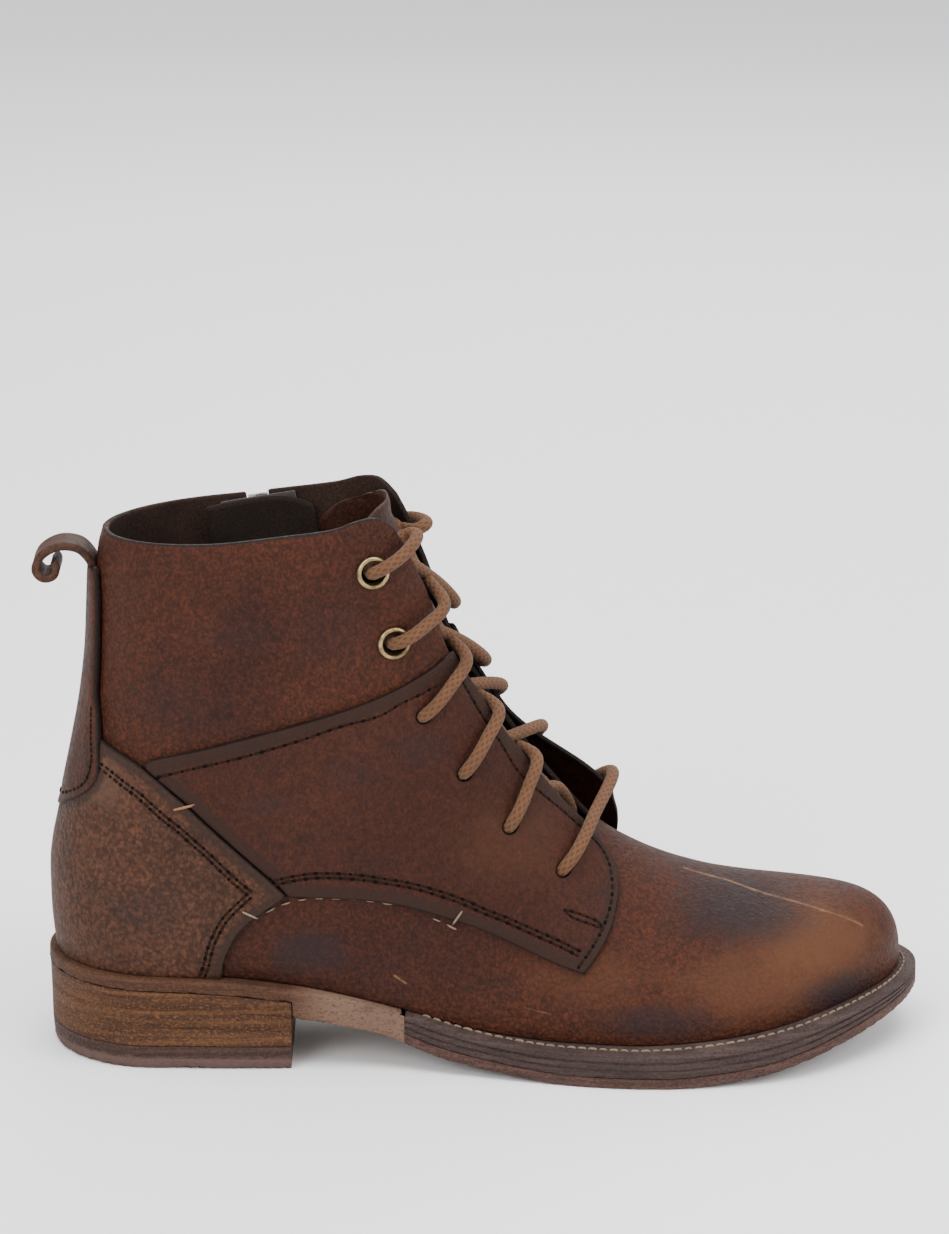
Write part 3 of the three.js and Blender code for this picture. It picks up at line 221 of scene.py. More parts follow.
def stretched(tree, place, scale):
    return node(tree, "ShaderNodeMapping", {"Vector": place, "Scale": scale}).outputs["Vector"]


def finish_surface(tree, principled, colour, rough, height, strength, depth):
    tree.links.new(colour, principled.inputs["Base Color"])
    if isinstance(rough, bpy.types.NodeSocket):
        tree.links.new(rough, principled.inputs["Roughness"])
    else:
        principled.inputs["Roughness"].default_value = rough
    bump = node(tree, "ShaderNodeBump", {"Strength": strength, "Distance": depth, "Height": height})
    tree.links.new(bump.outputs["Normal"], principled.inputs["Normal"])


def sole_edge(name, base, pale, dark, speckle, torn_below=None, layers=600.0, waist=None):
    """Sanded sole leather. torn_below is the height in metres under which the edge is torn, and
    waist a tone for the bare stretch between heel and welt."""
    material, tree, principled = shader(name, specular=0.2)
    place = node(tree, "ShaderNodeTexCoord").outputs["Object"]
    streak = noise(tree, stretched(tree, place, (22, 22, layers)), 1.0, 5.0, 0.65)
    fibre = noise(tree, stretched(tree, place, (130, 130, 1500)), 1.0, 3.0, 0.65)
    grain = noise(tree, stretched(tree, place, (950, 950, 1500)), 1.0, 2.0, 0.7)
    speck = noise(tree, place, 1500.0, 2.0, 0.75)
    smudge = noise(tree, stretched(tree, place, (26, 26, 90)), 1.0, 4.0, 0.6)
    colour = blend(tree, ramp(tree, streak, 0.4, 0.66, 0, 0.6), base, pale)
    colour = blend(tree, ramp(tree, grain, 0.52, 0.64, 0, speckle), colour, pale)
    if waist:
        x = node(tree, "ShaderNodeSeparateXYZ", {"Vector": place}).outputs["X"]
        start, end = (float(ORIGIN[0]) + at * MM for at in (HEEL_LENGTH - 4, HEEL_LENGTH + 14))
        colour = blend(tree, ramp(tree, x, start, end, 0, 0.8), colour, waist)
    colour = blend(tree, ramp(tree, grain, 0.46, 0.34, 0, 0.55), colour, dark)
    colour = blend(tree, ramp(tree, fibre, 0.56, 0.72, 0, 0.55), colour, dark)
    colour = blend(tree, ramp(tree, smudge, 0.54, 0.74, 0, 0.6), colour, dark)
    height = maths(tree, "ADD", streak, maths(tree, "ADD", speck, grain))
    if torn_below:
        z = node(tree, "ShaderNodeSeparateXYZ", {"Vector": place}).outputs["Z"]
        ragged = maths(
            tree, "ADD", z, maths(tree, "MULTIPLY", noise(tree, place, 260.0, 5.0, 0.7), -0.004)
        )
        torn = ramp(tree, ragged, torn_below, torn_below - 0.0009)
        colour = blend(tree, torn, colour, (0.085, 0.05, 0.042))
    finish_surface(
        tree, principled, colour, ramp(tree, speck, 0.3, 0.7, 0.55, 0.85), height, 0.7, 0.0007
    )
    return material


HEEL_LENGTH = 77.3
tan_edge = sole_edge(
    "tan sole leather", (0.045, 0.0163, 0.0078), (0.09, 0.0391, 0.0175), (0.0198, 0.0102, 0.0068),
    0.6,
    waist=(0.155, 0.092, 0.064),
)
heel_edge = sole_edge(
    "stacked heel leather", (0.0391, 0.0144, 0.0065), (0.1163, 0.0484, 0.0166),
    (0.0167, 0.0088, 0.0057), 0.9,
)
lift_edge = sole_edge(
    "heel lift", (0.034, 0.016, 0.0116), (0.0706, 0.0369, 0.0272), (0.0149, 0.0086, 0.0072), 0.5,
    0.0024, 900.0,
)
welt_edge = sole_edge(
    "dark welt",
    (0.033, 0.0196, 0.0176),
    (0.075, 0.0466, 0.0407),
    (0.0168, 0.0106, 0.0099),
    0.3,
    None,
    900.0,
)
tread_edge = sole_edge(
    "torn tread",
    (0.044, 0.0217, 0.0171),
    (0.1, 0.051, 0.0397),
    (0.02, 0.0102, 0.0083),
    0.5,
    None,
    800.0,
)

# Outsole: one slab of leather under the whole boot. It is the seat band at the heel, thick and
# bare at the waist, and the tread under the welt in the forepart.

# Columns: at, arch, spring
UNDERSIDE = np.array([
    (0.287, 1, 0), (0.324, 0.882, 0), (0.382, 0.694, 0), (0.411, 0.529, 0), (0.444, 0.341, 0),
    (0.487, 0.194, 0), (0.527, 0.106, 0), (0.571, 0.024, 0), (0.593, 0, 0), (0.713, 0, 0),
    (0.742, 0, 0.036), (0.8, 0, 0.157), (0.858, 0, 0.357), (0.891, 0, 0.5), (0.92, 0, 0.621),
    (0.953, 0, 0.786), (1, 0, 1),
])
# Columns: at, sway, half
PLAN = np.array([
    (0, 0, 0.335), (0.145, -0.005, 0.345), (0.218, -0.008, 0.347), (0.291, -0.015, 0.335),
    (0.345, -0.023, 0.32), (0.4, -0.031, 0.325), (0.473, -0.041, 0.361), (0.545, -0.043, 0.412),
    (0.618, -0.037, 0.462), (0.673, -0.028, 0.49), (0.727, -0.016, 0.5), (0.782, -0.002, 0.493),
    (0.855, 0.027, 0.472), (0.924, 0.078, 0.453), (0.967, 0.101, 0.437), (1, 0.124, 0.423),
])
HEEL_ROUND = 33
SEAT_BAND = 4.3
TREAD = 3.5
LIFT = 7.6
WELT_START = 112

under_arch = smooth(UNDERSIDE[:, 0], UNDERSIDE[:, 1])
under_spring = smooth(UNDERSIDE[:, 0], UNDERSIDE[:, 2])
plan_sway = smooth(PLAN[:, 0], PLAN[:, 1])
plan_half = smooth(PLAN[:, 0], PLAN[:, 2])


def underside(x):
    return BREAST_HEIGHT * under_arch(x / SOLE_LENGTH) + TOE_SPRING * under_spring(x / SOLE_LENGTH)


def sole_outline(x, side):
    back = np.clip(1 - x / HEEL_ROUND, 0, 1)
    front = np.clip((x / SOLE_LENGTH - 0.8) / 0.2, 0, 1)
    turn = np.sqrt(1 - back**2) * np.sqrt(1 - front**2)
    share = x / SOLE_LENGTH
    return (plan_sway(share) + side * plan_half(share) * turn) * BALL_WIDTH


def stations(start, end, pitch=2.5):
    """Places along the sole, close together where its heel and toe turn."""
    toe = 0.8 * SOLE_LENGTH
    parts = []
    if start < HEEL_ROUND:
        parts.append(HEEL_ROUND * np.linspace(0, 1, int(55 / pitch)) ** 2)
        start = HEEL_ROUND
    stop = min(end, toe)
    parts.append(np.linspace(start, stop, max(2, int((stop - start) / pitch)))[1 if parts else 0 :])
    if end > toe:
        parts.append(SOLE_LENGTH - 0.2 * SOLE_LENGTH * np.linspace(1, 0, int(75 / pitch))[1:] ** 2)
    return np.concatenate(parts)


def roughness_at(x, y):
    """An uneven number from -1 to 1, where the sole's edge is torn and sanded."""
    slow = np.sin(1.1 * x + 2.3 * y) * np.sin(0.7 * x - 1.9 * y + 1)
    fast = np.sin(3.7 * x + 1.3 * y + 2) * np.sin(2.9 * y - 2.1 * x)
    return 0.55 * slow + 0.45 * fast


def sole_layer(name, xs, top, bottom, edge, material, inset=0.0, outline=sole_outline, torn=0.0):
    """A slab of the sole. edge lists height shares and how far the edge lies back, in mm. torn is
    how far its lower edge is roughened."""
    lines = [np.stack([xs, outline(xs, side)], axis=-1) for side in (-1, 1)]
    shut = [abs(lines[0][i, 1] - lines[1][i, 1]) < 1e-6 for i in (0, -1)]
    around = []
    for which, side in ((0, -1), (1, 1)):
        line = lines[which]
        other = lines[1 - which]
        before = np.vstack([other[1] if shut[0] else line[0], line[:-1]])
        after = np.vstack([line[1:], other[-2] if shut[1] else line[-1]])
        run = after - before
        run /= np.linalg.norm(run, axis=1, keepdims=True)
        out = np.stack([-side * run[:, 1], side * run[:, 0]], axis=-1)
        columns = []
        for up, cut in edge:
            uneven = roughness_at(line[:, 0] + 40 * up, line[:, 1])
            tear = torn * max(0.12, 1 - up * 2.2)
            back = inset + cut + tear * uneven if torn else np.full(len(line), inset + cut)
            place = line - out * back[:, None]
            low = bottom(place[:, 0])
            lifted = np.maximum(uneven, 0) * torn * (up < 0.2) if torn else 0
            columns.append(np.column_stack([place, low + up * (top(place[:, 0]) - low) + lifted]))
        around += columns if which == 0 else columns[::-1]
    rings = np.stack(around, axis=1)
    count, size = rings.shape[:2]
    points = rings.reshape(-1, 3)
    faces = tube_faces(count, size)
    half = size // 2
    for r, closed in ((0, shut[0]), (count - 1, shut[1])):
        if not closed:
            for i in range(half - 1):
                a, b = r * size + i, r * size + size - 1 - i
                faces.append((a, a + 1, b - 1, b))
    obj = add_mesh(name, points, faces, material)
    close_mesh(obj)
    sharpen(obj, 45)
    return obj


def rounded_edge(radius, height, steps=4, low=True):
    """Edge levels of a plain slab whose corners are worn round."""
    turn = np.linspace(0, math.pi / 2, steps)
    share = radius / height
    bottom = [(share * (1 - math.cos(t)), radius * (1 - math.sin(t))) for t in turn]
    top = [(1 - u, c) for u, c in bottom[::-1]]
    return (bottom if low else [(0, 0)]) + top


def breast(x):
    return x < HEEL_LENGTH + 2 * FIT


outsole_xs = np.concatenate([
    stations(0, HEEL_LENGTH + FIT),
    stations(HEEL_LENGTH + 3 * FIT, WELT_START + 1.7 * FIT, 1.2),
    stations(WELT_START + 2 * FIT, SOLE_LENGTH, 1.2),
])
outsole = sole_layer(
    "outsole_leather",
    outsole_xs,
    lambda x: np.where(x < WELT_START + 1.8 * FIT, seat(x), underside(x) + TREAD),
    lambda x: np.where(breast(x), seat(x) - SEAT_BAND, underside(x)),
    rounded_edge(0.8, 5),
    tan_edge,
    torn=0.45,
)
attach(outsole, "boot")
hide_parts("outsole")
outsole.data.materials.append(tread_edge)
for face in outsole.data.polygons:
    face.material_index = int(face.center.x > ORIGIN[0] + WELT_START * MM)

# Welt: a dark strip over the tread, with two grooves run round its edge and a stitched ledge.

grooves = [(0.0, 0.3), (0.06, 0.0), (0.24, 0.0), (0.29, 0.45), (0.33, 0.5), (0.38, 0.0)]
grooves += [
    (0.56, 0.0), (0.6, 0.45), (0.64, 0.5), (0.69, 0.0), (0.86, 0.05), (0.95, 0.4), (1.0, 1.1)
]
WELT_END_ROUND = 1.3


def welt_top(x):
    """The welt's upper face, worn round where the welt starts."""
    share = np.clip(1 - (x - WELT_START - 2.1 * FIT) / WELT_END_ROUND, 0, 1)
    return seat(x) - WELT_END_ROUND * (1 - np.sqrt(1 - share**2))


welt_stations = np.concatenate([
    WELT_START + 2.1 * FIT + WELT_END_ROUND * np.linspace(0, 1, 7)[:-1] ** 2,
    stations(WELT_START + 2.1 * FIT + WELT_END_ROUND, SOLE_LENGTH, 1.2),
])
welt = sole_layer(
    "welt_strip",
    welt_stations,
    welt_top,
    lambda x: underside(x) + TREAD + FIT * 0.3,
    grooves,
    welt_edge,
    torn=0.16,
)
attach(welt, "boot")
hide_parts("midsole")

# Heel: a stack of leather lifts, sanded to one face, over a rubber top lift.

heel = sole_layer(
    "heel_lifts",
    stations(0, HEEL_LENGTH),
    lambda x: seat(x) - SEAT_BAND - 0.1,
    lambda x: LIFT + FIT + 0 * x,
    [
        (0, 0.55), (0.32, 0.5), (0.335, 0.7), (0.35, 0.48), (0.65, 0.35), (0.665, 0.55),
        (0.68, 0.33), (1, 0.15),
    ],
    heel_edge,
)
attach(heel, "boot")
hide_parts("heel_stack")

top_lift = sole_layer(
    "heel_rubber",
    stations(0, HEEL_LENGTH, 1.0),
    lambda x: LIFT + FIT * 0.5 + 0 * x,
    lambda x: 0 * x,
    [
        (0, 2.2), (0.06, 1.6), (0.16, 1.2), (0.4, 0.95), (0.46, 1.2), (0.52, 0.85), (0.97, 0.6),
        (1, 0.9),
    ],
    lift_edge,
    torn=0.5,
)
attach(top_lift, "boot")
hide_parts("heel_top_lift")

# Last: the foot form that every leather piece is drawn over. A section runs from the foot's edge
# over the ridge, and its numbers are shares of the sole's length, the ball's width and the
# shaft's height.

SHAFT_HEIGHT = 145
SEAT_GAP = 0.4
NOSE = SOLE_LENGTH - 5.4
HEEL_CUP = 4.2
TUCK = 0.045
TUCK_HEIGHT = 11

# Columns: up, lean, turn
BACK = np.array([
    (0, 0.0153, 0.32), (0.097, 0.0109, 0.32), (0.179, 0.0102, 0.33), (0.228, 0.0127, 0.335),
    (0.283, 0.0185, 0.34), (0.366, 0.0284, 0.35), (0.469, 0.04, 0.36), (0.572, 0.0502, 0.37),
    (0.683, 0.0571, 0.39), (0.772, 0.0596, 0.41), (0.841, 0.0615, 0.42), (0.903, 0.0655, 0.43),
    (0.935, 0.0702, 0.43), (1.062, 0.08, 0.43),
])
# Columns: base, ridge at, ridge up, half, crown half, crown, sharp, sway, ridge sway
SECTIONS = np.array([
    (0, 0.981, 0.186, 0.376, 0.361, 0.85, 2.4, 0.124, 0.124),
    (0.074, 0.909, 0.198, 0.395, 0.376, 0.85, 2.4, 0.069, 0.098),
    (0.172, 0.815, 0.239, 0.423, 0.381, 0.85, 2.3, 0.008, 0.067),
    (0.243, 0.745, 0.284, 0.435, 0.371, 0.85, 2.2, -0.012, 0.046),
    (0.311, 0.68, 0.341, 0.427, 0.351, 0.85, 2.2, -0.027, 0.031),
    (0.39, 0.629, 0.405, 0.39, 0.32, 0.8, 2.2, -0.039, 0.015),
    (0.481, 0.594, 0.49, 0.342, 0.294, 0.66, 2.3, -0.042, 0.005),
    (0.579, 0.554, 0.587, 0.311, 0.278, 0.5, 2.5, -0.034, 0),
    (0.677, 0.517, 0.689, 0.302, 0.268, 0.4, 2.7, -0.021, 0),
    (0.775, 0.487, 0.762, 0.311, 0.268, 0.31, 2.8, -0.009, 0),
    (0.873, 0.472, 0.811, 0.312, 0.268, 0.24, 2.8, -0.005, 0),
    (0.956, 0.466, 0.847, 0.309, 0.268, 0.21, 2.8, -0.002, 0),
    (1, 0.461, 0.876, 0.309, 0.268, 0.2, 2.8, 0, 0),
    (1.166, 0.453, 0.925, 0.314, 0.273, 0.2, 2.8, 0, 0),
    (1.379, 0.444, 0.978, 0.314, 0.278, 0.22, 2.8, 0, 0),
    (1.6, 0.436, 1.023, 0.314, 0.289, 0.25, 2.8, 0, 0),
    (1.821, 0.429, 1.065, 0.314, 0.294, 0.3, 2.8, 0, 0),
    (1.935, 0.425, 1.086, 0.314, 0.299, 0.34, 2.8, 0, 0),
    (2.062, 0.42, 1.176, 0.314, 0.299, 0.36, 2.8, 0, 0),
])
LAST_SECTION = len(SECTIONS) - 1
HEEL_SECTION = 12

back_lean = smooth(BACK[:, 0], BACK[:, 1])
back_turn = smooth(BACK[:, 0], BACK[:, 2])
section = [smooth(np.arange(len(SECTIONS)), column) for column in SECTIONS.T]
base_of, ridge_at, ridge_up, half_of, crown_half, crown_of, sharp_of, sway_of, ridge_sway = section


def back_at(up):
    return HEEL_CUP + (back_lean(up) - BACK[0, 1]) * SOLE_LENGTH


def round_off(x, start, power):
    share = np.clip((x - start * SOLE_LENGTH) / (NOSE - start * SOLE_LENGTH), 0, 1)
    return (1 - share**power) ** (1 / power)


def section_line(s):
    base = base_of(s)
    low = NOSE + (HEEL_CUP - NOSE) * np.minimum(base, 1)
    foot_x = np.where(base <= 1, low, back_at(base - 1))
    foot_z = np.where(base <= 1, seat(low), HEEL_SEAT + (base - 1) * SHAFT_HEIGHT) + SEAT_GAP
    ridge_x = np.minimum(NOSE, ridge_at(s) * SOLE_LENGTH)
    rise = ridge_up(s) * SHAFT_HEIGHT * round_off(ridge_x, 0.829, 3)
    return foot_x, foot_z, ridge_x, seat(ridge_x) + SEAT_GAP + rise


def crown_break(s):
    """Where the crown begins, as a share of the way from the ridge to the foot."""
    return 0.25 + 0.7 * crown_of(s)


def last_point(s, v):
    """A place on the last: s is the section, v runs from -1 at the outer foot edge to 1."""
    s = np.clip(s, 0, LAST_SECTION)
    v = np.clip(v, -1, 1)
    foot_x, foot_z, ridge_x, ridge_z = section_line(s)
    crown = crown_of(s)
    turn = crown_break(s)
    over = np.sin(math.pi / 2 * np.clip(1 - np.abs(v) / turn, 0, 1))
    wall = (1 - crown) * np.clip((1 - np.abs(v)) / (1 - turn), 0, 1)
    share = np.where(np.abs(v) < turn, 1 - crown + crown * over, wall)
    x = foot_x + (ridge_x - foot_x) * share
    z = foot_z + (ridge_z - foot_z) * share
    past = np.where(np.abs(v) < turn, over, 0)
    dome = np.sqrt(np.clip(1 - past ** sharp_of(s), 0, 1))
    half = (half_of(s) * (1 - share) + crown_half(s) * share) * BALL_WIDTH
    up = (z - SEAT_GAP - HEEL_SEAT) / SHAFT_HEIGHT
    inward = np.clip((x - back_at(up)) / (back_turn(up) * BALL_WIDTH), 0, 1)
    heel = np.sqrt(np.clip(1 - (1 - inward) ** 2, 0, 1))
    low = np.maximum(0, 1 - (z - SEAT_GAP - seat(x)) / TUCK_HEIGHT)
    width = half * dome * heel * (1 - TUCK * low * low) * round_off(x, 0.778, 2)
    sway = (sway_of(s) * (1 - share) + ridge_sway(s) * share) * BALL_WIDTH
    return np.stack([x, sway + np.sign(v) * width, z], axis=-1)


def unit(vectors):
    return vectors / np.maximum(np.linalg.norm(vectors, axis=-1, keepdims=True), 1e-9)


def last_normal(s, v):
    def facing(s, v):
        along = last_point(s + 0.01, v) - last_point(s - 0.01, v)
        around = last_point(s, v + 0.004) - last_point(s, v - 0.004)
        return unit(np.cross(around, along))

    normal = facing(s, v)
    seam = (s < 1e-6) | ((np.abs(v) > 0.9995) & (s >= HEEL_SECTION - 1e-6))
    normal[seam] += facing(s[seam], -v[seam])
    return unit(normal)


def find_on_last(spots, side):
    """Section and v of places that are given as x and z in side view."""
    x, z = np.asarray(spots, float).T
    low = np.full(len(x), 0.02)
    high = np.full(len(x), float(LAST_SECTION))
    for _ in range(36):
        middle = (low + high) / 2
        foot_x, foot_z, ridge_x, ridge_z = section_line(middle)
        ahead = (ridge_x - foot_x) * (z - foot_z) - (ridge_z - foot_z) * (x - foot_x) > 0
        low = np.where(ahead, middle, low)
        high = np.where(ahead, high, middle)
    foot_x, foot_z, ridge_x, ridge_z = section_line(low)
    run = np.stack([ridge_x - foot_x, ridge_z - foot_z], axis=-1)
    way = np.stack([x - foot_x, z - foot_z], axis=-1)
    share = np.clip((run * way).sum(-1) / (run * run).sum(-1), 0, 1)
    crown = crown_of(low)
    turn = crown_break(low)
    over = np.clip((share - 1 + crown) / crown, 0, 1)
    wall_v = 1 - (1 - turn) * share / (1 - crown)
    crown_v = turn * (1 - np.arcsin(over) / (math.pi / 2))
    return low, side * np.where(share < 1 - crown, wall_v, crown_v)


# Soft troughs and ridges worn into the leather: where the forefoot flexes, round the ankle and
# at the cuff. Columns: side, start x and z, end x and z, half width, depth.
CREASES = [
    (-1, 172, 24, 196, 56, 5, 0.35), (-1, 183, 20, 205, 50, 4, -0.25),
    (-1, 160, 40, 178, 66, 5, 0.3), (-1, 86, 92, 128, 118, 7, 0.45),
    (-1, 62, 84, 112, 98, 6, 0.35), (-1, 30, 118, 88, 128, 8, 0.5),
    (-1, 52, 148, 112, 140, 8, 0.4), (-1, 24, 70, 52, 58, 5, 0.35),
    (-1, 34, 48, 66, 41, 6, 0.3), (1, 176, 24, 200, 54, 5, 0.35),
    (1, 92, 88, 132, 112, 7, 0.5), (1, 30, 112, 70, 124, 8, 0.5),
    (1, 28, 66, 58, 54, 6, 0.4), (0, 203, 55, 252, 43, 3, -0.3),
]


def crease_depth(points):
    depth = np.zeros(len(points))
    x, y, z = points.T
    for side, x0, z0, x1, z1, width, deep in CREASES:
        run = np.array([x1 - x0, z1 - z0], float)
        length = np.linalg.norm(run)
        along = ((x - x0) * run[0] + (z - z0) * run[1]) / length
        aside = ((z - z0) * run[0] - (x - x0) * run[1]) / length
        aside = aside + 0.04 * width * np.sin(along / 6)
        fade = np.clip(1 - np.abs(2 * along / length - 1) ** 3, 0, 1)
        here = np.abs(y) < 12 if side == 0 else y * side > 0
        depth += here * deep * fade * np.exp(-((aside / width) ** 2) * 2)
    return depth


def skin(s, v, outward):
    """Points at a distance off the last, with the creases worn in."""
    points = last_point(s, v)
    lift = outward - crease_depth(points)
    return points + last_normal(s, v) * lift[..., None]

# Leather of the upper: waxed nubuck, brown with warm burnished and grey worn places, a fine
# wrinkled grain with painted shade darkening its troughs and the grooves between its pebbles, and
# edges that are cut raw and dyed dark.


def new_group(name, inputs, outputs):
    group = bpy.data.node_groups.new(name, "ShaderNodeTree")
    for label, kind, value in inputs:
        made = group.interface.new_socket(label, in_out="INPUT", socket_type=kind)
        made.default_value = value
    for label, kind in outputs:
        group.interface.new_socket(label, in_out="OUTPUT", socket_type=kind)
    return group, node(group, "NodeGroupInput").outputs, node(group, "NodeGroupOutput")


def make_leather_group():
    group, given, out = new_group(
        "waxed nubuck",
        [
            ("Base", "NodeSocketColor", (0.08, 0.04, 0.03, 1)),
            ("Warm", "NodeSocketColor", (0.16, 0.07, 0.03, 1)),
            ("Worn", "NodeSocketColor", (0.06, 0.045, 0.04, 1)),
            ("Grain", "NodeSocketFloat", 900.0),
            ("Worn Amount", "NodeSocketFloat", 0.5),
            ("Pebble", "NodeSocketFloat", 0.4),
        ],
        [
            ("Color", "NodeSocketColor"),
            ("Roughness", "NodeSocketFloat"),
            ("Height", "NodeSocketFloat"),
        ],
    )
    place = node(group, "ShaderNodeTexCoord").outputs["Object"]
    broad = noise(group, place, 16.0, 3.0, 0.55)
    patches = noise(group, place, 55.0, 4.0, 0.6, 0.4)
    mottle = noise(group, place, 420.0, 4.0, 0.65)
    wrinkle = noise(group, stretched(group, place, (1.0, 1.0, 0.6)), given["Grain"], 4.0, 0.6, 1.4)
    pores = node(
        group,
        "ShaderNodeTexVoronoi",
        {"Vector": place, "Scale": given["Grain"]},
        feature="SMOOTH_F1",
    ).outputs["Distance"]
    colour = blend(group, ramp(group, broad, 0.35, 0.65), given["Base"], given["Warm"])
    worn = maths(group, "MULTIPLY", ramp(group, patches, 0.5, 0.72), given["Worn Amount"])
    colour = blend(group, worn, colour, given["Worn"])
    shade = ramp(group, mottle, 0.3, 0.7, 0.82, 1.16)
    # Painted shade on the grain: the colour darkens where the wrinkles and the grooves between
    # pebbles sink in the height below.
    grain_shade = ramp(group, wrinkle, 0.36, 0.64, 0.74, 1.2)
    pore_shade = maths(group, "MULTIPLY", ramp(group, pores, 0.22, 0.62, 0.16, -0.4), given["Pebble"])
    both = maths(
        group,
        "MULTIPLY",
        shade,
        maths(group, "MULTIPLY", grain_shade, maths(group, "ADD", pore_shade, 1.0)),
    )
    tint = node(group, "ShaderNodeVectorMath", {0: colour, "Scale": both}, operation="SCALE")
    group.links.new(tint.outputs["Vector"], out.inputs["Color"])
    group.links.new(ramp(group, mottle, 0.3, 0.7, 0.5, 0.66), out.inputs["Roughness"])
    height = maths(
        group,
        "SUBTRACT",
        wrinkle,
        maths(group, "MULTIPLY", pores, maths(group, "MULTIPLY", given["Pebble"], 1.4)),
    )
    group.links.new(height, out.inputs["Height"])
    return group


def make_smudge_group():
    group, given, out = new_group(
        "wax smudge",
        [
            ("Color", "NodeSocketColor", (0.1, 0.1, 0.1, 1)),
            ("Tone", "NodeSocketColor", (0.03, 0.025, 0.03, 1)),
            ("Centre", "NodeSocketVector", (0, 0, 0)),
            ("Size", "NodeSocketVector", (0.01, 0.01, 0.01)),
            ("Amount", "NodeSocketFloat", 0.7),
        ],
        [("Color", "NodeSocketColor")],
    )
    place = node(group, "ShaderNodeTexCoord").outputs["Object"]
    away = node(group, "ShaderNodeVectorMath", {0: place, 1: given["Centre"]}, operation="SUBTRACT")
    scaled = node(
        group, "ShaderNodeVectorMath", {0: away.outputs["Vector"], 1: given["Size"]},
        operation="DIVIDE",
    )
    reach = node(group, "ShaderNodeVectorMath", {0: scaled.outputs["Vector"]}, operation="LENGTH")
    ragged = maths(group, "MULTIPLY", noise(group, place, 150.0, 4.0, 0.6), 0.7)
    reach = maths(group, "ADD", reach.outputs["Value"], maths(group, "SUBTRACT", ragged, 0.35))
    mask = maths(group, "MULTIPLY", ramp(group, reach, 1.0, 0.2), given["Amount"])
    group.links.new(blend(group, mask, given["Color"], given["Tone"]), out.inputs["Color"])
    return group


leather_group = make_leather_group()
smudge_group = make_smudge_group()


def make_scuff_group():
    """A thin worn line between two places on the hide. Out is the way the hide faces there."""
    group, given, out = new_group(
        "scuff line",
        [
            ("Color", "NodeSocketColor", (0.1, 0.1, 0.1, 1)),
            ("Tone", "NodeSocketColor", (0.2, 0.105, 0.055, 1)),
            ("From", "NodeSocketVector", (0, 0, 0)),
            ("To", "NodeSocketVector", (0.01, 0, 0)),
            ("Out", "NodeSocketVector", (0, -1, 0)),
            ("Width", "NodeSocketFloat", 0.0005),
            ("Amount", "NodeSocketFloat", 0.6),
        ],
        [("Color", "NodeSocketColor")],
    )
    place = node(group, "ShaderNodeTexCoord").outputs["Object"]

    def vectors(operation, first, second):
        made = node(group, "ShaderNodeVectorMath", {0: first, 1: second}, operation=operation)
        return made.outputs["Value" if operation in ("DOT_PRODUCT", "LENGTH") else "Vector"]

    def scaled(vector, scale):
        made = node(group, "ShaderNodeVectorMath", {0: vector, "Scale": scale}, operation="SCALE")
        return made.outputs["Vector"]

    def along_hide(vector):
        depth = vectors("DOT_PRODUCT", vector, given["Out"])
        return vectors("SUBTRACT", vector, scaled(given["Out"], depth)), depth

    run = along_hide(vectors("SUBTRACT", given["To"], given["From"]))[0]
    away, depth = along_hide(vectors("SUBTRACT", place, given["From"]))
    share = maths(
        group, "DIVIDE", vectors("DOT_PRODUCT", away, run), vectors("DOT_PRODUCT", run, run), True
    )
    aside = vectors("LENGTH", vectors("SUBTRACT", away, scaled(run, share)), (0, 0, 0))
    wobble = maths(group, "MULTIPLY", noise(group, place, 700.0, 4.0, 0.7), 0.0006)
    aside = maths(group, "ADD", aside, maths(group, "SUBTRACT", wobble, 0.0003))
    worn = maths(group, "SUBTRACT", 1.0, maths(group, "DIVIDE", aside, given["Width"], True), True)
    near = ramp(group, maths(group, "ABSOLUTE", depth), 0.012, 0.008)
    patchy = ramp(group, noise(group, place, 240.0, 3.0, 0.6), 0.3, 0.62, 0.3, 1)
    mask = maths(group, "MULTIPLY", maths(group, "MULTIPLY", worn, near), patchy)
    mask = maths(group, "MULTIPLY", mask, given["Amount"])
    group.links.new(blend(group, mask, given["Color"], given["Tone"]), out.inputs["Color"])
    return group


scuff_group = make_scuff_group()


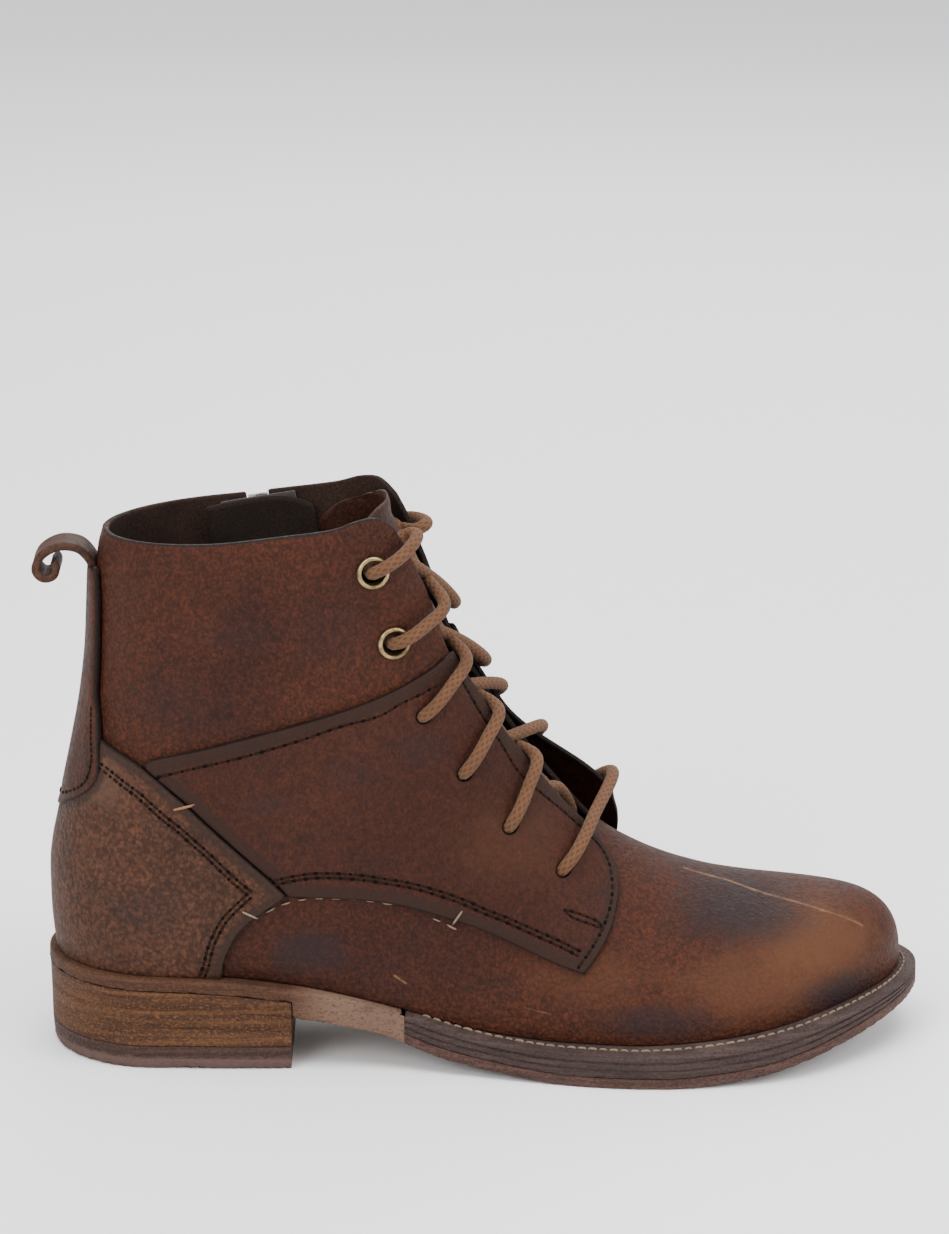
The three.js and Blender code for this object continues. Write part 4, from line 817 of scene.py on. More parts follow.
def leather(
    name, base, warm, worn, grain=900.0, worn_amount=0.5, smudges=(), edge=None, bump=0.7,
    scuffs=(), pebble=0.4,
):
    """Nubuck. smudges list a centre and half sizes in mm, a tone and an amount. edge is the tone
    of the band along the piece's cut edge, with its width in mm. scuffs list two places on the
    outer side (length and height in mm), a width and an amount."""
    material, tree, principled = shader(name, specular=0.13)
    hide = node(
        tree,
        "ShaderNodeGroup",
        node_tree=leather_group,
    )
    hide.inputs["Base"].default_value = (*base, 1)
    hide.inputs["Warm"].default_value = (*warm, 1)
    hide.inputs["Worn"].default_value = (*worn, 1)
    hide.inputs["Grain"].default_value = grain
    hide.inputs["Worn Amount"].default_value = worn_amount
    hide.inputs["Pebble"].default_value = pebble
    colour = hide.outputs["Color"]
    for centre, size, tone, amount in smudges:
        mark = node(tree, "ShaderNodeGroup", node_tree=smudge_group)
        tree.links.new(colour, mark.inputs["Color"])
        mark.inputs["Tone"].default_value = (*tone, 1)
        mark.inputs["Centre"].default_value = in_row(centre)
        mark.inputs["Size"].default_value = np.array(size) * MM
        mark.inputs["Amount"].default_value = amount
        colour = mark.outputs["Color"]
    for start, end, width, amount in scuffs:
        line = node(tree, "ShaderNodeGroup", node_tree=scuff_group)
        tree.links.new(colour, line.inputs["Color"])
        s, v = find_on_last(np.array([start, end], float), -1)
        places = in_row(skin(s, v, np.full(2, 0.4)))
        line.inputs["From"].default_value = places[0]
        line.inputs["To"].default_value = places[1]
        line.inputs["Out"].default_value = unit(last_normal(s, v).sum(0))
        line.inputs["Width"].default_value = width * MM
        line.inputs["Amount"].default_value = amount
        colour = line.outputs["Color"]
    if edge:
        tone, width = edge
        away = node(tree, "ShaderNodeAttribute", attribute_name="edge").outputs["Fac"]
        place = node(tree, "ShaderNodeTexCoord").outputs["Object"]
        ragged = maths(tree, "ADD", away, maths(tree, "MULTIPLY", noise(tree, place, 200.0), -0.12))
        band = ramp(tree, ragged, width / 10, width / 10 - 0.16, 0, 0.75)
        colour = blend(tree, band, colour, tone)
        colour = blend(tree, ramp(tree, away, 0.07, 0.02, 0, 0.85), colour, (0.007, 0.0042, 0.0034))
    finish_surface(
        tree, principled, colour, hide.outputs["Roughness"], hide.outputs["Height"], bump, 0.0005
    )
    return material


def lining(name, colour):
    material, tree, principled = shader(name, specular=0.12, sheen=0.02)
    place = node(tree, "ShaderNodeTexCoord").outputs["Object"]
    nap = noise(tree, place, 1600.0, 3.0, 0.7)
    broad = noise(tree, place, 60.0, 3.0)
    tint = blend(
        tree,
        ramp(tree, nap, 0.3, 0.7),
        tuple(c * 0.6 for c in colour),
        tuple(c * 1.5 for c in colour),
    )
    tint = blend(tree, ramp(tree, broad, 0.4, 0.7, 0, 0.5), tint, tuple(c * 0.5 for c in colour))
    finish_surface(tree, principled, tint, 0.9, nap, 0.5, 0.0003)
    return material


SMUDGE = (0.0145, 0.0098, 0.0108)
BURNISH = (0.083, 0.0315, 0.0135)
vamp_leather = leather(
    "vamp nubuck",
    (0.0324, 0.009, 0.0047),
    (0.0464, 0.0128, 0.0056),
    (0.0218, 0.0078, 0.0057),
    smudges=[
        ((243, -20, 39), (36, 32, 19), BURNISH, 0.85),
        ((222, -34, 28), (40, 22, 15), BURNISH, 0.5),
        ((216, -12, 47), (30, 30, 13), SMUDGE, 0.72),
        ((228, -20, 44), (22, 22, 8), SMUDGE, 0.5),
        ((191, -42, 19), (26, 18, 8), SMUDGE, 0.6),
        ((252, -25, 22), (27, 22, 9), SMUDGE, 0.75),
        ((83, -30, 38), (17, 18, 11), SMUDGE, 0.68),
        ((40, -28, 118), (22, 26, 15), SMUDGE, 0.2),
        ((92, -30, 140), (18, 20, 18), SMUDGE, 0.2),
        ((60, -30, 140), (22, 20, 7), SMUDGE, 0.2),
        ((120, 20, 60), (30, 24, 20), SMUDGE, 0.5),
        ((215, 24, 34), (34, 26, 18), BURNISH, 0.7),
        ((170, -40, 32), (30, 24, 12), BURNISH, 0.3),
    ],
    scuffs=[
        ((200.5, 55.1), (213.4, 51.2), 0.95, 0.85),
        ((213.4, 51.2), (225.8, 48), 0.85, 0.9),
        ((225.8, 48), (243.9, 43.6), 0.7, 0.85),
        ((243.9, 43.6), (256.3, 38.5), 0.6, 0.7),
        ((109.5, 30.7), (113, 28.4), 0.5, 0.7),
        ((150, 22), (158, 20.4), 0.35, 0.45),
    ],
    edge=((0.012, 0.007, 0.0055), 0.6),
    pebble=0.7,
)
inner_lining = lining("shaft lining", (0.023, 0.0122, 0.0092))

# Lines on the side of the boot, shared by the pieces that meet there. Columns: share of the
# sole's length, share of the shaft's height over the sole's top.

COLLAR = [
    (0.02, 0.938), (0.072, 0.941), (0.12, 0.947), (0.175, 0.957), (0.22, 0.969), (0.274, 0.994),
    (0.329, 1.027), (0.357, 1.054), (0.378, 1.068),
]
CUFF_EDGE = [
    (0.39, 1.062), (0.401, 1.047), (0.413, 1.011), (0.424, 0.968), (0.435, 0.925),
    (0.446, 0.872), (0.456, 0.814),
]
FACING_EDGE = [
    (0.461, 0.793), (0.475, 0.75), (0.492, 0.704), (0.51, 0.656), (0.532, 0.602),
    (0.556, 0.546), (0.577, 0.498), (0.599, 0.45), (0.618, 0.41),
]
LACE_HOLES = [
    (0.587, 0.354), (0.527, 0.447), (0.476, 0.551), (0.431, 0.659), (0.399, 0.805), (0.376, 0.952)
]


def spots(rows):
    at, up = np.array(rows, float).T
    x = at * SOLE_LENGTH
    return np.stack([x, seat(x) + SEAT_GAP + up * SHAFT_HEIGHT], axis=-1)


def flowing(points, pitch=1.5):
    """A smooth line through points, sampled at an even pitch."""
    points = np.asarray(points, float)
    ends = np.vstack([2 * points[0] - points[1], points, 2 * points[-1] - points[-2]])
    dense = []
    for i in range(1, len(ends) - 2):
        a, b, c, d = ends[i - 1 : i + 3]
        t = np.linspace(0, 1, 16, endpoint=False)[:, None]
        square = 2 * a - 5 * b + 4 * c - d
        cube = 3 * b - a - 3 * c + d
        dense.append(0.5 * (2 * b + (c - a) * t + square * t**2 + cube * t**3))
    dense = np.vstack([*dense, points[-1:]])
    return even(dense, pitch)


def even(line, pitch):
    step = np.linalg.norm(np.diff(line, axis=0), axis=1)
    along = np.concatenate([[0], np.cumsum(step)])
    count = max(2, int(round(along[-1] / pitch)) + 1)
    places = np.linspace(0, along[-1], count)
    return np.stack([np.interp(places, along, column) for column in line.T], axis=-1)


def beside(line, distance):
    """The line moved to its left by a distance."""
    run = np.gradient(line, axis=0)
    run /= np.maximum(np.linalg.norm(run, axis=1, keepdims=True), 1e-9)
    return line + np.stack([-run[:, 1], run[:, 0]], axis=-1) * distance


def inside(points, loop):
    x, y = points.T
    hit = np.zeros(len(points), bool)
    for (x0, y0), (x1, y1) in zip(loop, np.roll(loop, -1, axis=0)):
        crosses = (y0 > y) != (y1 > y)
        hit ^= crosses & (x < (x1 - x0) * (y - y0) / (y1 - y0 + 1e-12) + x0)
    return hit


def distance_to(points, lines):
    """Distance from points to the nearest of some open lines."""
    best = np.full(len(points), 1e9)
    for line in lines:
        for a, b in zip(line[:-1], line[1:]):
            run = b - a
            t = np.clip(((points - a) @ run) / max(run @ run, 1e-12), 0, 1)
            best = np.minimum(best, np.linalg.norm(points - a - t[:, None] * run, axis=1))
    return best


def nearest(points, targets):
    """Distance from each point to the nearest of the targets."""
    flat = targets.shape[1] == 2
    tree = KDTree(len(targets))
    for i, target in enumerate(targets.tolist()):
        tree.insert([*target, 0.0] if flat else target, i)
    tree.balance()
    return np.array([tree.find([*p, 0.0] if flat else p)[2] for p in points.tolist()])


def inner_rings(loops, insets):
    """Points that follow the loops at some distances inside the panel."""
    closed = [np.vstack([loop, loop[:1]]) for loop in loops]
    kept = []
    for inset in insets:
        for i, line in enumerate(closed):
            turn = np.sign(np.cross(line[:-1], line[1:]).sum()) * (1 if i == 0 else -1)
            ring = beside(line, turn * inset)
            far = distance_to(ring, closed) > inset * 0.93
            within = inside(ring, loops[0])
            for hole in loops[1:]:
                within &= ~inside(ring, hole)
            kept.append(ring[far & within])
    return np.vstack(kept)


def circle(centre, radius, count=20):
    turn = np.linspace(0, 2 * math.pi, count, endpoint=False)
    return np.asarray(centre) + radius * np.stack([np.cos(turn), np.sin(turn)], axis=-1)


def triangulate(loops, extra, pitch):
    """Triangles inside the first loop and outside the others, with extra points of their own."""
    outer, holes = loops[0], loops[1:]
    low, high = outer.min(0), outer.max(0)
    gx, gy = np.meshgrid(
        np.arange(low[0], high[0], pitch), np.arange(low[1], high[1], pitch * 0.87)
    )
    gx = gx + (np.arange(gx.shape[0]) % 2)[:, None] * pitch / 2
    grid = np.stack([gx.ravel(), gy.ravel()], axis=-1)
    closed = [np.vstack([loop, loop[:1]]) for loop in loops]
    grid = grid[inside(grid, outer)]
    for hole in holes:
        grid = grid[~inside(grid, hole)]
    grid = grid[distance_to(grid, closed) > pitch * 0.75]
    if len(extra):
        grid = grid[nearest(grid, extra) > pitch * 0.5]
    points = np.vstack([*loops, extra, grid]) if len(extra) else np.vstack([*loops, grid])
    edges = []
    start = 0
    for loop in loops:
        count = len(loop)
        edges += [(start + i, start + (i + 1) % count) for i in range(count)]
        start += count
    found = delaunay_2d_cdt([Vector(p) for p in points], edges, [], 0, 1e-5)
    verts = np.array([tuple(v) for v in found[0]])
    faces = np.array([f for f in found[2] if len(f) == 3])
    middle = verts[faces].mean(axis=1)
    keep = inside(middle, outer)
    for hole in holes:
        keep &= ~inside(middle, hole)
    return verts, faces[keep]


def border_of(faces):
    """Directed edges that only one triangle uses."""
    seen = {}
    for a, b, c in faces:
        for edge in ((a, b), (b, c), (c, a)):
            seen[edge] = True
    return [edge for edge in seen if (edge[1], edge[0]) not in seen]


def build_layers(name, outer, inner, faces, materials, away, rim=lambda a, b: True):
    """Closes two layers of points over the same triangles into one piece."""
    count = len(outer)
    every = [tuple(f) for f in faces] + [(c + count, b + count, a + count) for a, b, c in faces]
    rims = [edge for edge in border_of(faces) if rim(*edge)]
    every += [(b, a, a + count, b + count) for a, b in rims]
    obj = add_mesh(name, np.vstack([outer, inner]), every, materials[0])
    if len(materials) > 1:
        obj.data.materials.append(materials[1])
        index = np.zeros(len(every), int)
        index[len(faces) : 2 * len(faces)] = 1
        obj.data.polygons.foreach_set("material_index", index)
    attribute = obj.data.attributes.new("edge", "FLOAT", "POINT")
    attribute.data.foreach_set("value", np.concatenate([away, away]) / 10)
    close_mesh(obj)
    return obj


def round_depth(away, radius):
    """How far the face of a piece drops towards its edge, where the corner is worn round."""
    share = np.clip(1 - away / radius, 0, 1)
    return radius * (1 - np.sqrt(np.clip(1 - share**2, 0, 1)))


# Upper: vamp, shaft and cuff of one nubuck with its lining, open at the collar, the throat and
# underneath. Its foot edge is lasted in on the sole.

UPPER_WALL = 1.9
ZIP_LINE = [(0.307, 0.235), (0.29, 0.43), (0.264, 0.7), (0.24, 0.975)]
ZIP_SLOT = 7
ZIP_START = 7
HOLE_SIZE = 4.6
EYELET_HOLE = 8.6

# How far apart the sections lie, which keeps the net of the upper even
foot_x, foot_z, crest_x, crest_z = section_line(np.arange(LAST_SECTION + 1.0))
foot_step = np.hypot(np.diff(foot_x), np.diff(foot_z))
crest_step = np.hypot(np.diff(crest_x), np.diff(crest_z))
reach = np.concatenate([[0], np.cumsum((foot_step + crest_step) / 2)])
GIRTH = 95


def to_net(s, v):
    whole = np.interp(s, np.arange(LAST_SECTION + 1.0), reach)
    toe = reach[1] * np.sqrt(np.clip(s, 0, 1))
    return np.stack([np.where(s < 1, toe, whole), v * GIRTH], axis=-1)


def from_net(points):
    u, v = points.T
    s = np.interp(u, reach, np.arange(LAST_SECTION + 1.0))
    return np.where(u < reach[1], (u / reach[1]) ** 2, s), v / GIRTH


zip_line = flowing(spots(ZIP_LINE), 1.5)


def slot_net(width):
    """The zip's slot, which runs out past the collar."""
    line = zip_line[int(ZIP_START / 1.5) :]
    run_out = line[-1] + (line[-1] - line[-2]) * np.arange(1, 7)[:, None]
    line = np.vstack([line, run_out])
    around = np.vstack([beside(line, width / 2), beside(line, -width / 2)[::-1]])
    return to_net(*find_on_last(around, 1))


def run_of(loop, kept):
    """The one run of kept points along a closed loop, in order."""
    start = np.flatnonzero(kept & ~np.roll(kept, 1))[0]
    return np.roll(loop, -start, axis=0)[np.roll(kept, -start)]


def notched(outline, slot):
    """The outline with a slot that runs in over its edge."""
    rest = run_of(outline, ~inside(outline, slot))
    notch = run_of(slot, inside(slot, outline))
    if np.linalg.norm(notch[0] - rest[-1]) > np.linalg.norm(notch[-1] - rest[-1]):
        notch = notch[::-1]
    return np.vstack([rest, notch])


def upper_loops():
    collar = flowing(spots(COLLAR + CUFF_EDGE[:2]), 1.2)[:-1]
    front = flowing(spots(CUFF_EDGE[1:] + FACING_EDGE[:1]), 1.2)
    throat = flowing(spots(FACING_EDGE), 1.2)[1:]
    side_edge = np.vstack([collar, front, throat])
    legs = {}
    for side in (-1, 1):
        s, v = find_on_last(side_edge, side)
        legs[side] = to_net(s, v)
    # The throat's foot is a short arc between the facings
    s_end, v_end = find_on_last(side_edge[-1:], 1)
    turn = np.linspace(-1, 1, 9)[1:-1]
    s_arc = s_end - 0.12 * np.sqrt(1 - turn**2)
    arc = to_net(s_arc, turn * v_end)
    s_back = find_on_last(side_edge[:1], -1)[0]
    foot_s = np.concatenate([np.linspace(0, 1, 14)[1:] ** 2, np.linspace(1, HEEL_SECTION, 100)[1:]])
    back_s = np.linspace(HEEL_SECTION, s_back[0], 50)[1:-1]
    outer_foot = to_net(np.concatenate([foot_s, back_s]), -np.ones(len(foot_s) + len(back_s)))
    inner_foot = outer_foot[::-1] * (1, -1)
    nose = np.stack([np.zeros(61), np.linspace(GIRTH, -GIRTH, 61)], axis=-1)
    start = to_net(s_back, -np.ones(1))
    end = to_net(s_back, np.ones(1))
    loop = np.vstack(
        [outer_foot, start, legs[-1][1:], arc, legs[1][1:][::-1], end, inner_foot, nose[:-1]]
    )
    return loop


upper_loop = upper_loops()
hole_loops = []
for side in (-1, 1):
    for i, centre in enumerate(spots(LACE_HOLES)):
        radius = (EYELET_HOLE if i > 3 else HOLE_SIZE + 0.6) / 2
        s, v = find_on_last(circle(centre, radius, 16), side)
        hole_loops.append(to_net(s, v))
upper_loop = notched(upper_loop, slot_net(ZIP_SLOT))


def leather_panel(
    name, loops, top, bottom, materials, pitch=2.2, radius=0.5, seams=(), lift=None, halves=False,
    more=None,
):
    """A panel cut from leather and laid over the last. loops and seams lie in the net. With
    halves, the loops are those of one half, which is mirrored over the back seam."""
    rows = [beside(seam, aside) for seam in seams for aside in (-1.1, 0, 1.1)]
    extra = np.vstack(
        [inner_rings(loops, (radius * 0.4, radius * 1.3)), *rows, *([] if more is None else [more])]
    )
    net, faces = triangulate(loops, extra, pitch)
    s, v = from_net(net)
    if halves:
        count = len(net)
        faces = np.vstack([faces, faces[:, ::-1] + count])
        s, v = np.concatenate([s, s]), np.concatenate([v, -v])
        net = np.vstack([net, net])
    flat = last_point(s, v)
    rim = np.unique(np.array(border_of(faces)))
    welded = (s < 1e-6) | ((np.abs(v) > 0.9995) & (s >= HEEL_SECTION - 1e-6))
    tucked = (np.abs(v) > 0.9995) & (s < HEEL_SECTION)
    bare = rim[~(welded | tucked)[rim]]
    away = nearest(flat, flat[bare])
    away[bare] = 0
    drop = round_depth(away, radius)
    if len(loops) > 1:
        punched = nearest(net, np.vstack(loops[1:])) < 0.5
        outline_rim = bare[~punched[bare]]
        to_outline = nearest(flat, flat[outline_rim])
        away = np.where((to_outline > away + 0.01) & (away > 0.5), to_outline, away)
    if seams:
        near = distance_to(net, seams)
        sunk = 0.3 * np.exp(-((near / 0.8) ** 2))
    else:
        sunk = 0
    raised = lift(flat) if lift else 0
    outer = skin(s, v, top + raised - drop - sunk)
    inner = skin(s, v, bottom + raised + drop * 0.5)

    def rim_is_open(a, b):
        return not (welded[a] and welded[b])

    obj = build_layers(name, outer, inner, faces, materials, away, rim_is_open)
    return obj


# The toe's tip turns sharply, so the hide has closer points there
tip_s, tip_v = np.meshgrid(np.linspace(0.04, 0.5, 12) ** 2, np.linspace(-0.97, 0.97, 61))
upper = leather_panel(
    "upper_leather",
    [upper_loop, *hole_loops],
    0,
    -UPPER_WALL,
    [vamp_leather, inner_lining],
    pitch=2.3,
    radius=0.6,
    more=to_net(tip_s.ravel(), tip_v.ravel()),
)
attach(upper, "boot")
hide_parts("upper")

# Quarters: overlays of the same nubuck down both sides, with the four lower lace holes. They are
# sewn along the top, down the facing and twice along the foot. The inner one opens outwards.

QUARTER_FRONT = [
    (0.634, 0.373), (0.647, 0.34), (0.651, 0.3), (0.643, 0.238), (0.629, 0.189), (0.612, 0.147)
]
QUARTER_FOOT = [
    (0.574, 0.172), (0.517, 0.212), (0.472, 0.229), (0.405, 0.231), (0.348, 0.219), (0.277, 0.199)
]
QUARTER_TOP = [
    (0.117, 0.466), (0.135, 0.485), (0.191, 0.514), (0.235, 0.542), (0.294, 0.588),
    (0.338, 0.63), (0.381, 0.679), (0.424, 0.739), (0.452, 0.782),
]
COUNTER_FRONT = [
    (0.203, -0.06), (0.205, 0.03), (0.217, 0.088), (0.23, 0.122), (0.247, 0.152), (0.277, 0.2),
    (0.257, 0.232), (0.222, 0.284), (0.189, 0.339), (0.159, 0.395), (0.117, 0.462), (0.072, 0.503),
]
TOP_STITCH = [
    (0.136, 0.446), (0.168, 0.465), (0.213, 0.489), (0.252, 0.517), (0.293, 0.552),
    (0.338, 0.598), (0.381, 0.639), (0.406, 0.678), (0.427, 0.705), (0.442, 0.725),
]
FACING_STITCH = [
    (0.472, 0.731), (0.492, 0.672), (0.513, 0.617), (0.535, 0.552), (0.56, 0.505), (0.588, 0.455),
    (0.613, 0.404), (0.632, 0.366), (0.641, 0.334), (0.6425, 0.29), (0.635, 0.245), (0.621, 0.2),
    (0.606, 0.162),
]
FOOT_STITCH = [
    (0.259, 0.229), (0.282, 0.246), (0.308, 0.262), (0.334, 0.272), (0.36, 0.279), (0.388, 0.283),
    (0.42, 0.287), (0.449, 0.287), (0.477, 0.281), (0.5, 0.27), (0.526, 0.257), (0.554, 0.238),
    (0.584, 0.215), (0.606, 0.195),
]
QUARTER_THICK = 1.3
FLARE, FLARE_REACH, FLARE_RISE, FLARE_LEAD = 9.5, 44, 28, 2
STITCH_PITCH = 3.6


def flare(points):
    """How far the inner quarter stands away from the throat's foot."""
    root = spots(FACING_EDGE[-1:])[0]
    away = np.hypot(points[:, 0] - root[0], points[:, 2] - root[1]) / FLARE_REACH
    up = np.clip((points[:, 2] - root[1] + FLARE_RISE) / (FLARE_RISE + FLARE_LEAD), 0, 1)
    return FLARE * np.clip(1 - away**2, 0, 1) ** 2 * up * up * (3 - 2 * up)


def quarter_loops(side):
    top = flowing(spots(QUARTER_TOP), 1.2)
    front = flowing(spots(FACING_EDGE + QUARTER_FRONT), 1.2)
    foot = flowing(spots(QUARTER_FRONT[-1:] + QUARTER_FOOT), 1.2)[1:]
    back = beside(flowing(spots(COUNTER_FRONT[5:11]), 1.2), -0.35)[1:-1]
    loops = [np.vstack([top, front, foot, back])]
    loops += [circle(spot, HOLE_SIZE / 2, 20) for spot in spots(LACE_HOLES[:4])]
    nets = [to_net(*find_on_last(loop, side)) for loop in loops]
    return nets


def foot_rows():
    line = flowing(spots(FOOT_STITCH), 1.2)
    return [line, beside(line, -1.5)]


quarter_seams = [flowing(spots(TOP_STITCH), 1.2), flowing(spots(FACING_STITCH), 1.2), *foot_rows()]
quarter_leather = leather(
    "quarter nubuck",
    (0.0316, 0.0088, 0.0045),
    (0.0388, 0.0112, 0.0057),
    (0.0189, 0.008, 0.0065),
    worn_amount=0.6,
    smudges=[
        ((118, -30, 104), (12, 16, 9), SMUDGE, 0.3),
        ((96, -30, 96), (16, 16, 8), SMUDGE, 0.22),
        ((146, -28, 73), (26, 22, 18), BURNISH, 0.22),
        ((70, -30, 86), (12, 14, 5), SMUDGE, 0.3),
    ],
    edge=((0.0185, 0.0085, 0.006), 4.4),
)
for side, word in ((-1, "lateral"), (1, "medial")):
    loops = quarter_loops(side)
    if side > 0:
        loops[0] = notched(loops[0], slot_net(ZIP_SLOT + 1.6))
    quarter = leather_panel(
        "quarter_leather_" + word,
        loops,
        0.3 + QUARTER_THICK,
        0.06,
        [quarter_leather],
        seams=[to_net(*find_on_last(line, side)) for line in quarter_seams],
        lift=flare if side > 0 else None,
    )
    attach(quarter, "boot")
    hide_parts("quarter_" + word)

# Heel counter: a cup of coarser, greyer leather round the heel, lasted in under the heel seat and
# sewn with two rows along its front edge.

COUNTER_THICK = 1.8
STAY_EDGE = [
    (-0.05, 0.255), (0.012, 0.3), (0.036, 0.346), (0.056, 0.381), (0.066, 0.406), (0.071, 0.433),
    (0.071, 0.529), (0.068, 0.6), (0.07, 0.68), (0.0715, 0.79), (0.07, 0.862),
]
COUNTER_STITCH = [
    (0.074, 0.452), (0.085, 0.442), (0.103, 0.421), (0.115, 0.407), (0.13, 0.382), (0.145, 0.356),
    (0.158, 0.336), (0.173, 0.309), (0.189, 0.282), (0.204, 0.255), (0.219, 0.229), (0.236, 0.204),
]
COUNTER_FOOT_STITCH = [
    (0.232, 0.194), (0.217, 0.164), (0.204, 0.135), (0.195, 0.103), (0.188, 0.071),
    (0.183, 0.033), (0.179, 0.01),
]


def seam_run(line):
    """Net points along a side-view line up to the back seam, the last of them on it."""
    s, v = find_on_last(line, -1)
    end = np.flatnonzero(v <= -0.9999)
    stop = end[0] + 1 if len(end) else len(s)
    s, v = s[:stop], v[:stop].copy()
    v[-1] = -1
    return to_net(s, v), s[-1]


def counter_half():
    front = flowing(spots(COUNTER_FRONT[:6]), 1.2)
    rise = flowing(spots(COUNTER_FRONT[5:]), 1.2)[1:]
    stay = beside(flowing(spots(STAY_EDGE[:6][::-1]), 1.2), -0.35)[1:]
    above = seat(front[:, 0]) + SEAT_GAP < front[:, 1]
    s, v = find_on_last(np.vstack([front[above], rise]), -1)
    side_net = to_net(s, v)
    stay_net, s_top = seam_run(stay[stay[:, 1] < rise[-1, 1] - 0.8])
    down = np.linspace(s_top, HEEL_SECTION, 24)[1:]
    foot = np.linspace(HEEL_SECTION, s[0], 34)[1:]
    under = np.concatenate([down, foot])
    return np.vstack([side_net, stay_net, to_net(under, -np.ones(len(under)))])


counter_leather = leather(
    "counter leather",
    (0.0468, 0.0188, 0.0106),
    (0.059, 0.0238, 0.0131),
    (0.031, 0.0158, 0.0109),
    grain=740.0,
    worn_amount=0.55,
    smudges=[
        ((18, -24, 92), (16, 20, 12), (0.085, 0.045, 0.028), 0.5),
        ((34, -30, 52), (18, 14, 12), SMUDGE, 0.35),
    ],
    edge=((0.021, 0.0112, 0.0078), 3.2),
    bump=0.8,
    pebble=0.85,
)
counter_line = flowing(spots(COUNTER_STITCH), 1.2)
counter_foot_line = flowing(spots(COUNTER_FOOT_STITCH), 1.2)
counter_rows = [
    counter_line, beside(counter_line, -1.6), counter_foot_line, beside(counter_foot_line, 1.6)
]
counter = leather_panel(
    "counter_leather",
    [counter_half()],
    0.3 + COUNTER_THICK,
    0.06,
    [counter_leather],
    seams=[to_net(*find_on_last(line, -1)) for line in counter_rows],
    halves=True,
)
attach(counter, "boot")
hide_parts("heel_counter")

# Back stay: a strap of leather up the back seam, a shield at its foot, sewn round its edge. Its
# top end is the pull loop, curled over backwards.

STAY_THICK = 2.4
STAY_STITCH = [
    (0.0645, 0.56), (0.0635, 0.5), (0.0635, 0.45), (0.0555, 0.402), (0.036, 0.363), (0.02, 0.333)
]


def stay_half():
    edge = flowing(spots(STAY_EDGE[::-1]), 1.2)
    edge_net, s_low = seam_run(edge)
    x_top, z_top = edge[0]
    back = back_at((z_top - SEAT_GAP - HEEL_SEAT) / SHAFT_HEIGHT)
    across = np.stack([np.linspace(back, x_top, 12), np.full(12, z_top)], axis=-1)[1:-1]
    s, v = find_on_last(across, -1)
    s_high = find_on_last(np.array([[back - 0.5, z_top]]), -1)[0][0]
    up = np.linspace(s_low, s_high, 60)[1:]
    return np.vstack([edge_net, to_net(up, -np.ones(len(up))), to_net(s, v)])


stay_leather = leather(
    "stay leather",
    (0.0338, 0.0104, 0.0055),
    (0.0473, 0.0144, 0.0074),
    (0.0225, 0.0098, 0.0069),
    worn_amount=0.6,
    edge=((0.013, 0.0075, 0.006), 0.7),
)
loop_leather = leather(
    "loop leather", (0.036, 0.0155, 0.0095), (0.052, 0.023, 0.0135), (0.028, 0.0145, 0.0105),
    worn_amount=0.6,
)
stay_line = flowing(spots(STAY_STITCH), 1.2)
stay = leather_panel(
    "stay_leather",
    [stay_half()],
    0.3 + STAY_THICK,
    0.06,
    [stay_leather],
    seams=[to_net(*find_on_last(stay_line, -1))],
    radius=0.8,
    halves=True,
)
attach(stay, "boot")
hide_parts("back_stay")

LOOP_PATH = [
    (0.0, -0.45), (0.05, -0.2), (0.11, 0), (0.385, 0.27), (0.84, 0.32), (1.25, 0.1), (1.4, -0.25),
    (1.23, -0.46), (0.98, -0.4), (0.91, -0.17), (0.98, -0.06),
]
LOOP_WIDTH = 13
LOOP_THICK = 2.6


def sweep(name, line, out, profile, material):
    """A closed body with one profile along a line. Profile points are (aside, outward)."""
    run = unit(np.gradient(line, axis=0))
    across = unit(np.cross(run, out))
    out = unit(np.cross(across, run))
    size = len(profile)
    aside, outward = profile[None, :, :1], profile[None, :, 1:]
    rings = line[:, None] + across[:, None] * aside + out[:, None] * outward
    faces = tube_faces(len(line), size)
    faces += [tuple(range(size))[::-1], tuple((len(line) - 1) * size + i for i in range(size))]
    obj = add_mesh(name, rings.reshape(-1, 3), faces, material)
    close_mesh(obj)
    return obj


def strap_profile(width, thick, round_off=0.7, across=10):
    """Half-round edges and a slightly hollow middle, as a folded and glued strap has."""
    turn = np.linspace(-math.pi / 2, math.pi / 2, 7)
    half_w, half_t = width / 2, thick / 2
    edge = np.stack(
        [half_w - round_off * half_t + round_off * half_t * np.cos(turn), half_t * np.sin(turn)],
        axis=-1,
    )
    x = np.linspace(edge[-1, 0], -edge[-1, 0], across)[1:-1]
    top = np.stack([x, half_t - 0.12 * np.cos(x / half_w * math.pi / 2)], axis=-1)
    low = np.stack([-x, -half_t + 0.05 * np.cos(x / half_w * math.pi / 2)], axis=-1)
    return np.vstack([edge, top, edge[::-1] * (-1, 1), low])


loop_top = spots(STAY_EDGE[-1:])[0, 1]
loop_back = back_at((loop_top - HEEL_SEAT) / SHAFT_HEIGHT) - FIT
loop_foot = loop_top + FIT + LOOP_THICK / 2
path = np.array(LOOP_PATH) * (-LOOP_WIDTH, LOOP_WIDTH) + (loop_back, loop_foot)
path = flowing(path, 0.6)
loop_line = np.stack([path[:, 0], np.zeros(len(path)), path[:, 1]], axis=-1)
run = np.gradient(loop_line, axis=0)
loop = sweep(
    "pull_loop_leather",
    loop_line,
    np.stack([-run[:, 2], np.zeros(len(run)), run[:, 0]], axis=-1),
    strap_profile(LOOP_WIDTH, LOOP_THICK),
    loop_leather,
)
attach(loop, "boot")
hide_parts("pull_loop")

# Tongue: soft leather under the laces, sewn in beneath the vamp, its sides folded in under the
# facings and its top edge rolled.

